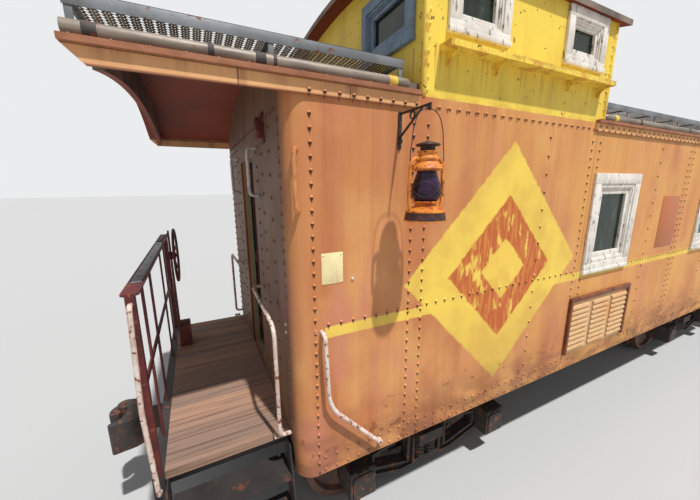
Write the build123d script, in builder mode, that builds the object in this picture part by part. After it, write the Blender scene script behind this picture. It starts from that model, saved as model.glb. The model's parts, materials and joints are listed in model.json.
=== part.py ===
# Caboose: a riveted steel cabin with an off-centre lookout cupola and open end platforms,
# carried on two four-wheeled trucks.
# Millimetres. +X runs along the car, +Z is up, Y = 0 is the centreline,
# and z = 0 is the lowest point of the wheel flanges.

from build123d import *
import math
import os

os.makedirs("parts", exist_ok=True)

# Cabin
BODY_LENGTH = 9144.0
BODY_WIDTH = 2840.0
WALL = 76.0
CORNER_RADIUS = 127.0
SEAM_FROM_END = 128.0
FLOOR_Z = 1295.0
FLOOR_THICKNESS = 60.0
SKIRT_BOTTOM_Z = 1060.0
SKIRT = 8.0

# Roof, heights above the floor
ROOF_EDGE = 2404.6
ROOF_RADIUS = 3720.0
ROOF_THICKNESS = 60.0
ROOF_INSET = 40.0
ROOF_OVERHANG = 880.0
HEADER_CROWN = 2395.0
HEADER_RISE = 150.0
HEADER_THICKNESS = 40.0
HEADER_SETBACK = 84.0

# Eave trim, heights above the floor
FASCIA_BOTTOM = 2245.0
FASCIA_TOP = 2320.0
FASCIA_THICKNESS = 16.0
LIP_HEIGHT = 25.0
LIP_REACH = 40.0
MOULDING_RADIUS = 33.0
FASCIA_BEFORE_CUPOLA = 36.0
FASCIA_UNDER_CUPOLA = 127.0
MOULDING_BEFORE_CUPOLA = 139.0
MOULDING_BEHIND_CUPOLA = 40.0
MOULDING_SETBACK = 12.0

# Cupola, heights above the floor
CUPOLA_FROM_FRONT = 916.0
CUPOLA_LENGTH = 2151.0
CUPOLA_CROWN = 3375.0
CUPOLA_ROOF_RADIUS = 6130.0
CUPOLA_ROOF_THICKNESS = 45.0
CUPOLA_ROOF_EAVE = 50.0
CUPOLA_ROOF_OVERHANG = 130.0
LEDGE_TOP = 2642.0
LEDGE_THICKNESS = 37.0
LEDGE_WIDTH = 110.0
LEDGE_FROM_CORNER = 117.0
LEDGE_END_BRACKET = 71.5
LEDGE_INNER_BRACKET = 435.0
LEDGE_BRACKET_DROP = 85.0
LEDGE_BRACKET_THICKNESS = 10.0

# Windows: width and height of the hole, sill height above the floor, and where they stand
SIDE_WINDOW_WIDTH = 780.0
SIDE_WINDOW_HEIGHT = 907.0
SIDE_WINDOW_SILL = 900.0
FIRST_WINDOW_BEHIND_CUPOLA = 443.0
REAR_WINDOWS_FROM_END = (2932.0, 1122.0)
CUPOLA_SIDE_WINDOW_WIDTH = 450.0
CUPOLA_SIDE_WINDOW_HEIGHT = 310.0
CUPOLA_SIDE_WINDOW_SILL = 2782.0
CUPOLA_SIDE_WINDOW_OFFSET = 617.0
CUPOLA_END_WINDOW_WIDTH = 570.0
CUPOLA_END_WINDOW_HEIGHT = 350.0
CUPOLA_END_WINDOW_SILL = 2745.0
CUPOLA_END_WINDOW_FROM_SIDE = 445.0
TRIM_WIDTH = 60.0
TRIM_THICKNESS = 22.0
SASH_WIDTH = 38.0
GLASS_THICKNESS = 6.0
GLASS_SETBACK = 34.0

# End doors
DOOR_HOLE_WIDTH = 700.0
DOOR_HOLE_HEIGHT = 1990.0
DOOR_THICKNESS = 40.0
DOOR_GAP = 5.0
DOOR_PIN_STANDOFF = 10.0
DOOR_PIN_CLEARANCE = 0.3
DOOR_WINDOW_WIDTH = 400.0
DOOR_WINDOW_HEIGHT = 620.0
DOOR_WINDOW_SILL = 1130.0
DOOR_PANEL_WIDTH = 255.0
DOOR_PANEL_HEIGHT = 760.0
DOOR_PANEL_SILL = 190.0
DOOR_PANEL_OFFSET = 145.0
DOOR_PANEL_DEPTH = 8.0
HINGE_HEIGHTS = (220.0, 990.0, 1760.0)
HINGE_HEIGHT = 100.0
HINGE_LEAF = 60.0
HINGE_LEAF_THICKNESS = 6.0
KNOB_HEIGHT = 950.0
KNOB_FROM_EDGE = 54.0
KNOB_RADIUS = 24.0
KNOB_STEM = 10.0
KNOB_REACH = 36.0
KNOB_THICKNESS = 24.0

# End platforms
PLATFORM_LENGTH = 800.0
END_SILL_THICKNESS = 65.0
END_SILL_DEPTH = 235.0
PLATFORM_INSET = 260.0
END_SILL_BESIDE_PLATFORM = 30.0
BOARD_COUNT = 17
BOARD_GAP = 6.0

# Underframe
CENTRE_SILL_GAP = 330.0
CENTRE_SILL_DEPTH = 430.0
CENTRE_SILL_WEB = 12.0
CENTRE_SILL_FLANGE = 80.0
FLANGE_THICKNESS = 14.0
SIDE_SILL_WIDTH = 70.0
SIDE_SILL_WEB = 20.0
SIDE_SILL_FLANGE_THICKNESS = 12.0
INNER_BEARERS = 4
INNER_BEARER_PITCH = 1186.0
BEARER_BEYOND_TRUCK = 860.0
CROSS_BEARER_WEB = 12.0
CROSS_BEARER_FLANGE = 110.0
BEARER_ABOVE_SILL_BOTTOM = 40.0
BEARER_IN_CHANNEL = 15.0
BOLSTER_LENGTH = 280.0
BODY_END_SILL = 14.0
BOLSTER_BOTTOM_Z = 755.0
BOLSTER_PLATE = 22.0
BOLSTER_FILLER = 60.0
BOLSTER_FLAT_HALF_LENGTH = 250.0
BOLSTER_WEB_OFFSET = 100.0
STRINGER_FROM_EDGE = 100.0
STRINGER_INNER_Y = 640.0
STRINGER_WIDTH = 60.0
STRINGER_DEPTH = 100.0

# Trucks
TRUCK_FROM_END = 1472.0
TRUCK_WHEELBASE = 1676.0
CENTRE_PLATE_Z = 715.0
CENTRE_PLATE_RADIUS = 178.0
PLATE_CLEARANCE = 0.3
SIDE_BEARING_Y = 635.0
SIDE_BEARING_GAP = 6.0
SIDE_BEARING_RISE = 20.0
SIDE_BEARING_LENGTH = 200.0
SIDE_BEARING_WIDTH = 90.0
SIDE_BEARING_DEPTH = 190.0
FRAME_FROM_WHEEL = 83.5
FRAME_THICKNESS = 110.0
FRAME_TOP_ABOVE_AXLE = 245.0
FRAME_ARM_ABOVE_AXLE = 165.0
FRAME_ARM_BELOW_AXLE = 125.0
FRAME_BOTTOM_BELOW_AXLE = 230.0
FRAME_MIDDLE_HALF = 330.0
FRAME_CORNER = 24.0
FRAME_INNER_CORNER = 12.0
FRAME_RIB = 24.0
FRAME_RIB_HEIGHT = 30.0
FRAME_WINDOW_START = 250.0
FRAME_WINDOW_FROM_AXLE = 198.0
BOLSTER_WINDOW_TOP = 640.0
BOLSTER_WINDOW_PLAY = 8.0
BOX_HALF_LENGTH = 125.0
BOX_BEHIND_FRAME = 43.0
BOX_BEYOND_JOURNAL = 52.0
BOX_TOP_ABOVE_AXLE = 155.0
LID_THICKNESS = 12.0
LID_HALF_LENGTH = 100.0
LID_HINGE_RADIUS = 13.0
BOLSTER_BEYOND_FRAME = 65.0
BOLSTER_FOOT_FROM_FRAME = 105.0
BOLSTER_SHOULDER_FROM_FRAME = 85.0
BOLSTER_BELLY_HALF = 500.0
BOLSTER_BELLY_Z = 450.0
BOLSTER_CROWN_HALF = 350.0
BOWL_RIM = 30.0
BOWL_DEPTH = 15.0
BOWL_CLEARANCE = 3.0
TRUCK_BOLSTER_HALF_WIDTH = 150.0
BOLSTER_END_TOP_Z = 600.0
SPRING_RADIUS = 68.0
SPRING_SEAT_Z = 275.0
SPRING_TOP_Z = 480.0
SPRING_COILS = 5
SPRING_GROOVE = 18.0

# Wheels and axles
FLANGE_HEIGHT = 25.4
TREAD_RADIUS = 419.1
WHEEL_BACK_Y = 676.5
RIM_WIDTH = 145.0
RIM_INNER_RADIUS = 360.0
PLATE_OUTER_RADIUS = 340.0
HUB_BEHIND_WHEEL = 26.5
HUB_BEYOND_WHEEL = 13.5
HUB_RADIUS = 135.0
HUB_EDGE = 10.0
AXLE_TAPER = 60.0
WHEEL_SEAT_SHOULDER = 30.0
JOURNAL_SHOULDER = 21.0
AXLE_RADIUS = 72.0
WHEEL_SEAT_RADIUS = 84.0
JOURNAL_RADIUS = 63.5
JOURNAL_BEYOND_FRAME = 93.0
JOURNAL_CLEARANCE = 0.5

# Couplers
COUPLER_Z = 902.0
COUPLER_BEYOND_SILL = 493.0
COUPLER_HEAD_LENGTH = 260.0
SHANK_START = 150.0
SHANK_WIDTH = 130.0
SHANK_HEIGHT = 160.0
SHANK_SIDE_PLAY = 35.0
SHANK_TOP_PLAY = 35.0
HEAD_HEIGHT = 280.0
KNUCKLE_LUG = 28.0
KNUCKLE_CLEARANCE = 0.3
KNUCKLE_PIN_RADIUS = 18.0
KNUCKLE_PIN = (152.0, -122.0)
STRIKER_WIDTH = 430.0
STRIKER_HEIGHT = 400.0

# Brake wheel and its stand, on each platform
BRAKE_WHEEL_RADIUS = 290.0
BRAKE_WHEEL_RIM = 13.0
BRAKE_WHEEL_HEIGHT = 1030.0
BRAKE_WHEEL_FROM_END = 705.0
BRAKE_WHEEL_DISH = 22.0
BRAKE_HUB_RADIUS = 34.0
SPOKE_COUNT = 5
SPOKE_WIDTH = 26.0
SPOKE_THICKNESS = 8.0
BRAKE_SHAFT_RADIUS = 16.0
BRAKE_STAND_Y = 650.0
BRAKE_STAND_SETBACK = 42.0
BRAKE_STAND_HEIGHT = 1300.0
BRAKE_STAND_THICKNESS = 14.0
BRAKE_STAND_FOOT = 95.0
BRAKE_STAND_HEAD = 30.0
BRAKE_LEG_WIDTH = 34.0
GEAR_CASE_RADIUS = 105.0
GEAR_CASE_HEIGHT = 170.0
GEAR_CASE_LENGTH = 100.0

# Railings and handrails, heights above the floor
RAILING_HEIGHT = 1195.0
PIPE_RADIUS = 14.0
END_RAIL_FROM_DOOR = 100.0
END_RAIL_FROM_SIDE = 170.0
END_RAIL_HEIGHTS = (900.0, 860.0, 45.0)
POST_RAIL_STANDOFF = 40.0
POST_RAIL_HEIGHTS = (1135.0, 500.0, -100.0)
SIDE_RAIL_STANDOFF = 60.0
# Side handrail: distance behind the corner seam, height
SIDE_RAIL_ROUTE = ((52.0, 850.0), (72.0, 330.0), (492.0, -130.0))
CORNER_GRAB_ANGLE = 60.0
CORNER_GRAB_HEIGHTS = (1960.0, 1620.0)
CORNER_GRAB_STANDOFF = 55.0
DOOR_GRAB_FROM_DOOR = 210.0
DOOR_GRAB_HEIGHTS = (2050.0, 1690.0)
DOOR_GRAB_STANDOFF = 70.0

# Air reservoir and brake cylinder under the floor
RESERVOIR_LENGTH = 1040.0
RESERVOIR_RADIUS = 200.0
RESERVOIR_Y = -720.0
RESERVOIR_Z = 950.0
RESERVOIR_HEAD_FILLET = 70.0
RESERVOIR_BAND = 50.0
RESERVOIR_HANGER_WIDTH = 120.0
RESERVOIR_BAND_THICKNESS = 5.0
RESERVOIR_BAND_FROM_END = 170.0
CYLINDER_START_X = -260.0
CYLINDER_LENGTH = 400.0
CYLINDER_RADIUS = 165.0
CYLINDER_Y = 720.0
CYLINDER_Z = 1000.0
CYLINDER_FLANGE = 25.0
CYLINDER_FLANGE_THICKNESS = 30.0
PUSH_ROD_RADIUS = 28.0
PUSH_ROD_LENGTH = 260.0
CYLINDER_HANGER = 40.0
CYLINDER_HANGER_WIDTH = 110.0

# Stove and its flue
STOVE_FROM_REAR = 3672.0
STOVE_FROM_SIDE = 600.0
STOVE_WIDTH = 460.0
STOVE_HEIGHT = 760.0
STOVE_LEG = 110.0
STOVE_LEG_WIDTH = 45.0
STOVE_TOP_PLATE = 22.0
STOVE_TOP_LIP = 18.0
STOVE_DOOR_WIDTH = 240.0
STOVE_DOOR_HEIGHT = 200.0
STOVE_DOOR_THICKNESS = 14.0
FLUE_RADIUS = 75.0
FLUE_CLEARANCE = 1.0
FLUE_ABOVE_ROOF = 250.0
COLLAR_RADIUS = 135.0
COLLAR_HEIGHT = 60.0

# Lantern on its scroll bracket, heights above the floor
BRACKET_FROM_END = 740.0
BRACKET_REACH = 280.0
BRACKET_TOP = 2212.0
BRACKET_PLATE_WIDTH = 26.0
BRACKET_PLATE_HEIGHT = 228.0
BRACKET_PLATE_THICKNESS = 8.0
BRACKET_BAR = 10.0
ARM_BELOW_TOP = 14.0
ARM_HEIGHT = 12.0
STAY_DROP = 150.0
STAY_HEIGHT = 15.0
STAY_FROM_TIP = 50.0
SCROLL_RADIUS = 24.0
SCROLL_FROM_TIP = 150.0
SCROLL_STRAP = 6.0
HOOK_RADIUS = 14.0
HOOK_WIRE = 4.5
LANTERN_BOTTOM = 1555.0
BAIL_RADIUS = 3.0
BAIL_CLEARANCE = 0.3
BAIL_HALF_WIDTH = 112.0
BAIL_TOP_HALF = 50.0
BAIL_FOOT_HEIGHT = 320.0
BAIL_SHOULDER_DROP = 90.0
BAIL_CORNER = 60.0
TUBE_RADIUS = 9.0
TUBE_CORNER = 30.0
# Side tube's route: distance beside the lantern's axis, height above its bottom
TUBE_ROUTE = ((90, 50), (118, 110), (112, 340), (40, 365))
# Lantern's outline: radius, height above its bottom; fount, burner, globe, hood and chimney cap
LANTERN_PROFILE = ((0, 0), (118, 0), (122, 12), (108, 62), (86, 78), (62, 92), (62, 104), (84, 150), (88, 190),
                   (80, 236), (64, 290), (82, 292), (84, 312), (60, 352), (56, 372), (70, 376), (72, 390),
                   (44, 398), (44, 424), (84, 426), (86, 432), (20, 455), (0, 455))

# Louvre panel below the first side window, heights above the floor
LOUVRE_FROM_WINDOW = 35.0
LOUVRE_WIDTH = 1190.0
LOUVRE_BOTTOM = -50.0
LOUVRE_TOP = 580.0
LOUVRE_THICKNESS = 10.0
LOUVRE_COLUMNS = 3
LOUVRE_ROWS = 9
LOUVRE_TOP_RAIL = 44.0
LOUVRE_RAIL_THICKNESS = 12.0
LOUVRE_MARGIN = 35.0
LOUVRE_FOOT = 40.0
SLAT_REACH = 16.0

# Bunks and cupola seats, seen through the windows
BUNK_DEPTH = 620.0
BUNK_HEIGHT = 450.0
CUPOLA_SEAT_DEPTH = 560.0
CUPOLA_SEAT_HEIGHT = 1500.0
CUPOLA_SEAT_END_GAP = 30.0
BUNK_CUSHION = 80.0
BUNK_CUSHION_LIP = 30.0
BACKREST_HEIGHT = 560.0
BACKREST_FOOT = 60.0
BACKREST_HEAD = 50.0
BACKREST_LEAN = 40.0
BACKREST_FROM_MIDDLE = 120.0
BACKREST_INSET = 40.0

# Truck brakes: the shoes' gap to the tread, and the beam with the guide it lies in
SHOE_GAP = 8.0
SHOE_THICKNESS = 42.0
SHOE_WIDTH = 80.0
SHOE_HEIGHT = 330.0
SHOE_FROM_WHEEL_BACK = 91.5
BEAM_WIDTH = 70.0
BEAM_HEIGHT = 90.0
BEAM_BEHIND_SHOE = 28.0
BEAM_END_GAP = 15.0
GUIDE_REACH = 43.0
GUIDE_THICKNESS = 24.0
GUIDE_FROM_BOLSTER = 50.0
GUIDE_BEYOND_BEAM = 15.0
LEVER_WIDTH = 60.0
LEVER_THICKNESS = 24.0
LEVER_ABOVE_AXLE = 150.0
BOTTOM_ROD_RADIUS = 16.0
BOTTOM_ROD_BELOW_AXLE = 95.0

# Steps: tread height above the wheel flanges, and how far its outer edge is beyond the car's side
STEP_TREADS = ((1005.0, -130.0), (715.0, -60.0), (425.0, 5.0))
STEP_TREAD_DEPTH = 230.0
STEP_TREAD_THICKNESS = 30.0
STEP_CHEEK = 10.0
CHEEK_INNER_FROM_SIDE = 325.0
CHEEK_TOP_FROM_SIDE = 160.0
CHEEK_BULGE = 12.0
CHEEK_ABOVE_TREAD = 40.0
CHEEK_BELOW_TREAD = 30.0
CHEEK_FROM_WALL = 15.0
CHEEK_FROM_SILL = 5.0

# Eave walkways, heights above the floor; the feet are counted before and behind the cupola
WALKWAY_FROM_SIDE = 120.0
WALKWAY_WIDTH = 300.0
WALKWAY_TOP = 2565.0
WALKWAY_THICKNESS = 25.0
WALKWAY_ANGLE_DEPTH = 55.0
WALKWAY_ANGLE = 6.0
WALKWAY_FROM_CUPOLA = 72.0
WALKWAY_BEYOND_ROOF = 2.0
WALKWAY_FEET = (3, 8)
WALKWAY_END_FOOT = 150.0
WALKWAY_FOOT = 40.0

# Each end door: name, end of the car, side of its hinge, angle it stands open
DOOR_TABLE = (("front", -1, 1, 90.0), ("rear", 1, -1, 0.0))

# End railing's posts, top rail and uprights
RAIL_POST = 46.0
RAIL_TOP_WIDTH = 90.0
RAIL_TOP_THICKNESS = 12.0
RAIL_MIDDLE_HEIGHT = 600.0
RAIL_MIDDLE_DEPTH = 44.0
RAIL_BAR = 12.0
UPRIGHT_WIDTH = 40.0
UPRIGHT_THICKNESS = 14.0

# Gap from the end wall to its handrail
STANDOFF = 85.0

# Bunks: side, and the distances of their front and rear ends from the cabin's rear end
BUNK_RUNS = ((-1, 4072.0, 272.0), (1, 3172.0, 1272.0))

# Places worked out from the sizes above
half_body = BODY_LENGTH / 2
half_width = BODY_WIDTH / 2
seam_x = half_body - SEAM_FROM_END
corner_y = half_width - CORNER_RADIUS
deck_z = FLOOR_Z - FLOOR_THICKNESS
roof_half_length = half_body + ROOF_OVERHANG
roof_half_width = half_width - ROOF_INSET
roof_rise = ROOF_RADIUS - math.sqrt(ROOF_RADIUS**2 - roof_half_width**2)
roof_crown_z = FLOOR_Z + ROOF_EDGE + roof_rise
ceiling_crown_z = roof_crown_z - ROOF_THICKNESS
ceiling_radius = ROOF_RADIUS - ROOF_THICKNESS
cupola_front_x = CUPOLA_FROM_FRONT - half_body
cupola_rear_x = cupola_front_x + CUPOLA_LENGTH
cupola_x = (cupola_front_x + cupola_rear_x) / 2
cupola_crown_z = FLOOR_Z + CUPOLA_CROWN
platform_end_x = half_body + PLATFORM_LENGTH
end_sill_x = platform_end_x + END_SILL_THICKNESS
platform_half_width = half_width - PLATFORM_INSET
end_sill_half_width = platform_half_width + END_SILL_BESIDE_PLATFORM
side_window_xs = [cupola_rear_x + FIRST_WINDOW_BEHIND_CUPOLA]
side_window_xs += [half_body - distance for distance in REAR_WINDOWS_FROM_END]
truck_centre_x = half_body - TRUCK_FROM_END
stove_x = half_body - STOVE_FROM_REAR
stove_y = half_width - STOVE_FROM_SIDE
axle_z = FLANGE_HEIGHT + TREAD_RADIUS
wheel_face_y = WHEEL_BACK_Y + RIM_WIDTH
frame_inner_y = wheel_face_y + FRAME_FROM_WHEEL
frame_outer_y = frame_inner_y + FRAME_THICKNESS
journal_end_y = frame_outer_y + JOURNAL_BEYOND_FRAME


def arch_z(crown_z, radius, y):
    """Height of an arched surface at a distance from the centreline."""
    return crown_z - radius + math.sqrt(radius**2 - y**2)


def arched_band(half_span, crown_z, radius, thickness, x):
    """Cross-section of an arched roof sheet, on the plane across the car at x."""
    outer = arch_z(crown_z, radius, half_span)
    inner = arch_z(crown_z - thickness, radius - thickness, half_span)
    with BuildSketch(Plane.YZ.offset(x)) as band:
        with BuildLine():
            ThreePointArc((-half_span, outer), (0, crown_z), (half_span, outer))
            Line((half_span, outer), (half_span, inner))
            ThreePointArc((half_span, inner), (0, crown_z - thickness), (-half_span, inner))
            Line((-half_span, inner), (-half_span, outer))
        make_face()
    return band.sketch


def window_ring(plane, centre, width, height, border, outset):
    """Rectangular ring on a wall plane: its hole is smaller than the wall's hole by the border."""
    with BuildSketch(plane) as ring:
        with Locations(centre):
            Rectangle(width + 2 * outset, height + 2 * outset)
            Rectangle(width - 2 * border, height - 2 * border, mode=Mode.SUBTRACT)
    return ring.sketch


def wall_plane(side):
    """Plane of a side wall's outer face, its normal pointing away from the car."""
    return Plane(origin=(0, side * half_width, 0), x_dir=(-side, 0, 0), z_dir=(0, side, 0))


def end_plane(end, x):
    """Plane across the car at a distance from its middle, its normal pointing to that end."""
    return Plane(origin=(end * x, 0, 0), x_dir=(0, end, 0), z_dir=(end, 0, 0))


def along(side, x):
    """Coordinate on a side wall's plane of a place along the car."""
    return -side * x


# Everything above the ceiling, used to trim the walls to the roof's underside
with BuildPart() as above_ceiling:
    extrude(arched_band(half_width + 60, ceiling_crown_z + 1500, ceiling_radius + 1500, 1500, -roof_half_length),
            amount=2 * roof_half_length)

# Everything above the cupola's ceiling
with BuildPart() as above_cupola:
    extrude(
        arched_band(half_width + 60, cupola_crown_z - CUPOLA_ROOF_THICKNESS + 800,
                    CUPOLA_ROOF_RADIUS - CUPOLA_ROOF_THICKNESS + 800, 800, cupola_front_x - 500),
        amount=CUPOLA_LENGTH + 1000)

# Underframe, in the pieces that it is built of, each cut to seat on the ones before it
sill_mid_z = deck_z - CENTRE_SILL_DEPTH / 2
sill_bottom_z = deck_z - CENTRE_SILL_DEPTH
web_y = CENTRE_SILL_GAP / 2 + CENTRE_SILL_WEB / 2
web_outer_y = CENTRE_SILL_GAP / 2 + CENTRE_SILL_WEB
flange_y = CENTRE_SILL_GAP / 2 + CENTRE_SILL_FLANGE / 2
side_sill_y = half_width - SKIRT - SIDE_SILL_WIDTH / 2
side_sill_inner_y = side_sill_y - SIDE_SILL_WIDTH / 2
side_sill_depth = deck_z - SKIRT_BOTTOM_Z
side_sill_mid_z = (deck_z + SKIRT_BOTTOM_Z) / 2
bearer_end_y = side_sill_inner_y + BEARER_IN_CHANNEL

# Centre sill: two channels, back to back with a gap for the draft gear, under a cover plate
with BuildPart() as centre_sill:
    with BuildSketch(Plane.YZ.offset(-platform_end_x)):
        with Locations((-web_y, sill_mid_z), (web_y, sill_mid_z)):
            Rectangle(CENTRE_SILL_WEB, CENTRE_SILL_DEPTH)
        for flange_z in (deck_z - FLANGE_THICKNESS / 2, sill_bottom_z + FLANGE_THICKNESS / 2):
            with Locations((-flange_y, flange_z), (flange_y, flange_z)):
                Rectangle(CENTRE_SILL_FLANGE, FLANGE_THICKNESS)
        with Locations((0, deck_z - FLANGE_THICKNESS / 2)):
            Rectangle(CENTRE_SILL_GAP, FLANGE_THICKNESS)
    extrude(amount=2 * platform_end_x)
centre_sill.part.label = "centre_sill"
export_step(centre_sill.part, "parts/centre_sill.step")

# Side sills: channels that open inwards
with BuildPart() as side_sills:
    with BuildSketch(Plane.YZ.offset(-seam_x)):
        for side in (-1, 1):
            with Locations((side * side_sill_y, side_sill_mid_z)):
                Rectangle(SIDE_SILL_WIDTH, side_sill_depth)
            with Locations((side * (side_sill_y - SIDE_SILL_WEB / 2), side_sill_mid_z)):
                Rectangle(SIDE_SILL_WIDTH - SIDE_SILL_WEB, side_sill_depth - 2 * SIDE_SILL_FLANGE_THICKNESS,
                          mode=Mode.SUBTRACT)
    extrude(amount=2 * seam_x)
side_sills.part.label = "side_sills"
export_step(side_sills.part, "parts/side_sills.step")

# Cross bearers, deep at the centre sill and shallow where they end in the side sills
with BuildPart() as cross_bearers:
    low_inner = sill_bottom_z + BEARER_ABOVE_SILL_BOTTOM
    low_outer = SKIRT_BOTTOM_Z + BEARER_ABOVE_SILL_BOTTOM
    inner_reach = (INNER_BEARERS - 1) / 2 * INNER_BEARER_PITCH
    bearer_xs = [k * INNER_BEARER_PITCH - inner_reach for k in range(INNER_BEARERS)]
    bearer_xs += [-truck_centre_x - BEARER_BEYOND_TRUCK, truck_centre_x + BEARER_BEYOND_TRUCK]
    for x in bearer_xs:
        for side in (-1, 1):
            inner = side * web_y
            outer = side * bearer_end_y
            with BuildSketch(Plane.YZ.offset(x)):
                with BuildLine():
                    Polyline((inner, deck_z), (outer, deck_z), (outer, low_outer), (inner, low_inner), close=True)
                make_face()
            extrude(amount=CROSS_BEARER_WEB / 2, both=True)
            with BuildSketch(Plane.YZ.offset(x)):
                with BuildLine():
                    Polyline((inner, low_inner + CROSS_BEARER_WEB), (outer, low_outer + CROSS_BEARER_WEB),
                             (outer, low_outer), (inner, low_inner), close=True)
                make_face()
            extrude(amount=CROSS_BEARER_FLANGE / 2, both=True)
    add(centre_sill.part, mode=Mode.SUBTRACT)
    add(side_sills.part, mode=Mode.SUBTRACT)
cross_bearers.part.label = "cross_bearers"
export_step(cross_bearers.part, "parts/cross_bearers.step")

# Body bolsters: box girders that taper to the side sills, with centre plates and side bearings
with BuildPart() as body_bolsters:
    low_outer = SKIRT_BOTTOM_Z + BOLSTER_PLATE
    hollow_y = web_outer_y + BOLSTER_FILLER
    for x in (-truck_centre_x, truck_centre_x):
        with BuildSketch(Plane.YZ.offset(x)):
            with BuildLine():
                Polyline((-bearer_end_y, deck_z), (bearer_end_y, deck_z), (bearer_end_y, low_outer),
                         (BOLSTER_FLAT_HALF_LENGTH, BOLSTER_BOTTOM_Z), (-BOLSTER_FLAT_HALF_LENGTH, BOLSTER_BOTTOM_Z),
                         (-bearer_end_y, low_outer), close=True)
            make_face()
        extrude(amount=BOLSTER_LENGTH / 2, both=True)
        for side in (-1, 1):
            # The girder is open between its top and bottom plates, apart from two webs
            with BuildSketch(Plane.YZ.offset(x)):
                with BuildLine():
                    Polyline((side * hollow_y, deck_z - BOLSTER_PLATE),
                             (side * (bearer_end_y + 5), deck_z - BOLSTER_PLATE),
                             (side * (bearer_end_y + 5), low_outer + BOLSTER_PLATE),
                             (side * hollow_y, BOLSTER_BOTTOM_Z + BOLSTER_PLATE), close=True)
                make_face()
            extrude(amount=BOLSTER_LENGTH / 2, both=True, mode=Mode.SUBTRACT)
            for web_x in (x - BOLSTER_WEB_OFFSET, x + BOLSTER_WEB_OFFSET):
                with BuildSketch(Plane.YZ.offset(web_x)):
                    with BuildLine():
                        Polyline((side * web_outer_y, deck_z - 10), (side * bearer_end_y, deck_z - 10),
                                 (side * bearer_end_y, low_outer + 10),
                                 (side * BOLSTER_FLAT_HALF_LENGTH, BOLSTER_BOTTOM_Z + 10),
                                 (side * web_outer_y, BOLSTER_BOTTOM_Z + 10), close=True)
                    make_face()
                extrude(amount=CROSS_BEARER_WEB / 2, both=True)
            with BuildSketch(Plane.XY.offset(CENTRE_PLATE_Z + SIDE_BEARING_RISE + SIDE_BEARING_GAP)):
                with Locations((x, side * SIDE_BEARING_Y)):
                    Rectangle(SIDE_BEARING_LENGTH + 20, SIDE_BEARING_WIDTH + 20)
            extrude(amount=SIDE_BEARING_DEPTH)
        with BuildSketch(Plane.XY.offset(CENTRE_PLATE_Z)):
            with Locations((x, 0)):
                Circle(CENTRE_PLATE_RADIUS)
        extrude(amount=BOLSTER_BOTTOM_Z - CENTRE_PLATE_Z)
    add(centre_sill.part, mode=Mode.SUBTRACT)
    add(side_sills.part, mode=Mode.SUBTRACT)
body_bolsters.part.label = "body_bolsters"
export_step(body_bolsters.part, "parts/body_bolsters.step")

# Body end sills under the end walls, let in beside and inside the centre sill
with BuildPart() as body_end_sills:
    for end in (-1, 1):
        with BuildSketch(end_plane(end, half_body)):
            with Locations((0, side_sill_mid_z)):
                Rectangle(2 * corner_y, side_sill_depth)
        extrude(amount=-BODY_END_SILL)
    add(centre_sill.part, mode=Mode.SUBTRACT)
body_end_sills.part.label = "body_end_sills"
export_step(body_end_sills.part, "parts/body_end_sills.step")

# Platform end sills, each with a striker round the coupler's shank, which lies on the hole's bottom
with BuildPart() as platform_end_sills:
    for end in (-1, 1):
        with BuildSketch(end_plane(end, platform_end_x)):
            with Locations((0, FLOOR_Z - END_SILL_DEPTH / 2)):
                Rectangle(2 * end_sill_half_width, END_SILL_DEPTH)
            with Locations((0, COUPLER_Z + 20)):
                Rectangle(STRIKER_WIDTH, STRIKER_HEIGHT)
            with Locations((0, COUPLER_Z - SHANK_HEIGHT / 2)):
                Rectangle(SHANK_WIDTH + 2 * SHANK_SIDE_PLAY, SHANK_HEIGHT + SHANK_TOP_PLAY,
                          align=(Align.CENTER, Align.MIN), mode=Mode.SUBTRACT)
        extrude(amount=END_SILL_THICKNESS)
platform_end_sills.part.label = "platform_end_sills"
export_step(platform_end_sills.part, "parts/platform_end_sills.step")

# Stringers that carry the platform boards, from the body's end sill to the platform's
outer_stringer_y = platform_half_width - STRINGER_FROM_EDGE
with BuildPart() as platform_stringers:
    for end in (-1, 1):
        with BuildSketch(end_plane(end, half_body)):
            for y in (-outer_stringer_y, -STRINGER_INNER_Y, STRINGER_INNER_Y, outer_stringer_y):
                with Locations((y, deck_z - STRINGER_DEPTH / 2)):
                    Rectangle(STRINGER_WIDTH, STRINGER_DEPTH)
        extrude(amount=PLATFORM_LENGTH)
platform_stringers.part.label = "platform_stringers"
export_step(platform_stringers.part, "parts/platform_stringers.step")

# Cabin floor: one slab between the walls, on the sills
with BuildPart() as cabin_floor:
    with BuildSketch(Plane.XY.offset(deck_z)):
        RectangleRounded(2 * (half_body - WALL), 2 * (half_width - WALL), CORNER_RADIUS - WALL)
    extrude(amount=FLOOR_THICKNESS)
cabin_floor.part.label = "cabin_floor"
export_step(cabin_floor.part, "parts/cabin_floor.step")

# Platform floors: boards laid along the car
board_pitch = 2 * platform_half_width / BOARD_COUNT
with BuildPart() as platform_floors:
    with BuildSketch(Plane.XY.offset(deck_z)):
        for end in (-1, 1):
            with Locations((end * (half_body + PLATFORM_LENGTH / 2), 0)):
                with GridLocations(0, board_pitch, 1, BOARD_COUNT):
                    Rectangle(PLATFORM_LENGTH, board_pitch - BOARD_GAP)
    extrude(amount=FLOOR_THICKNESS)
platform_floors.part.label = "platform_floors"
export_step(platform_floors.part, "parts/platform_floors.step")

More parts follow.
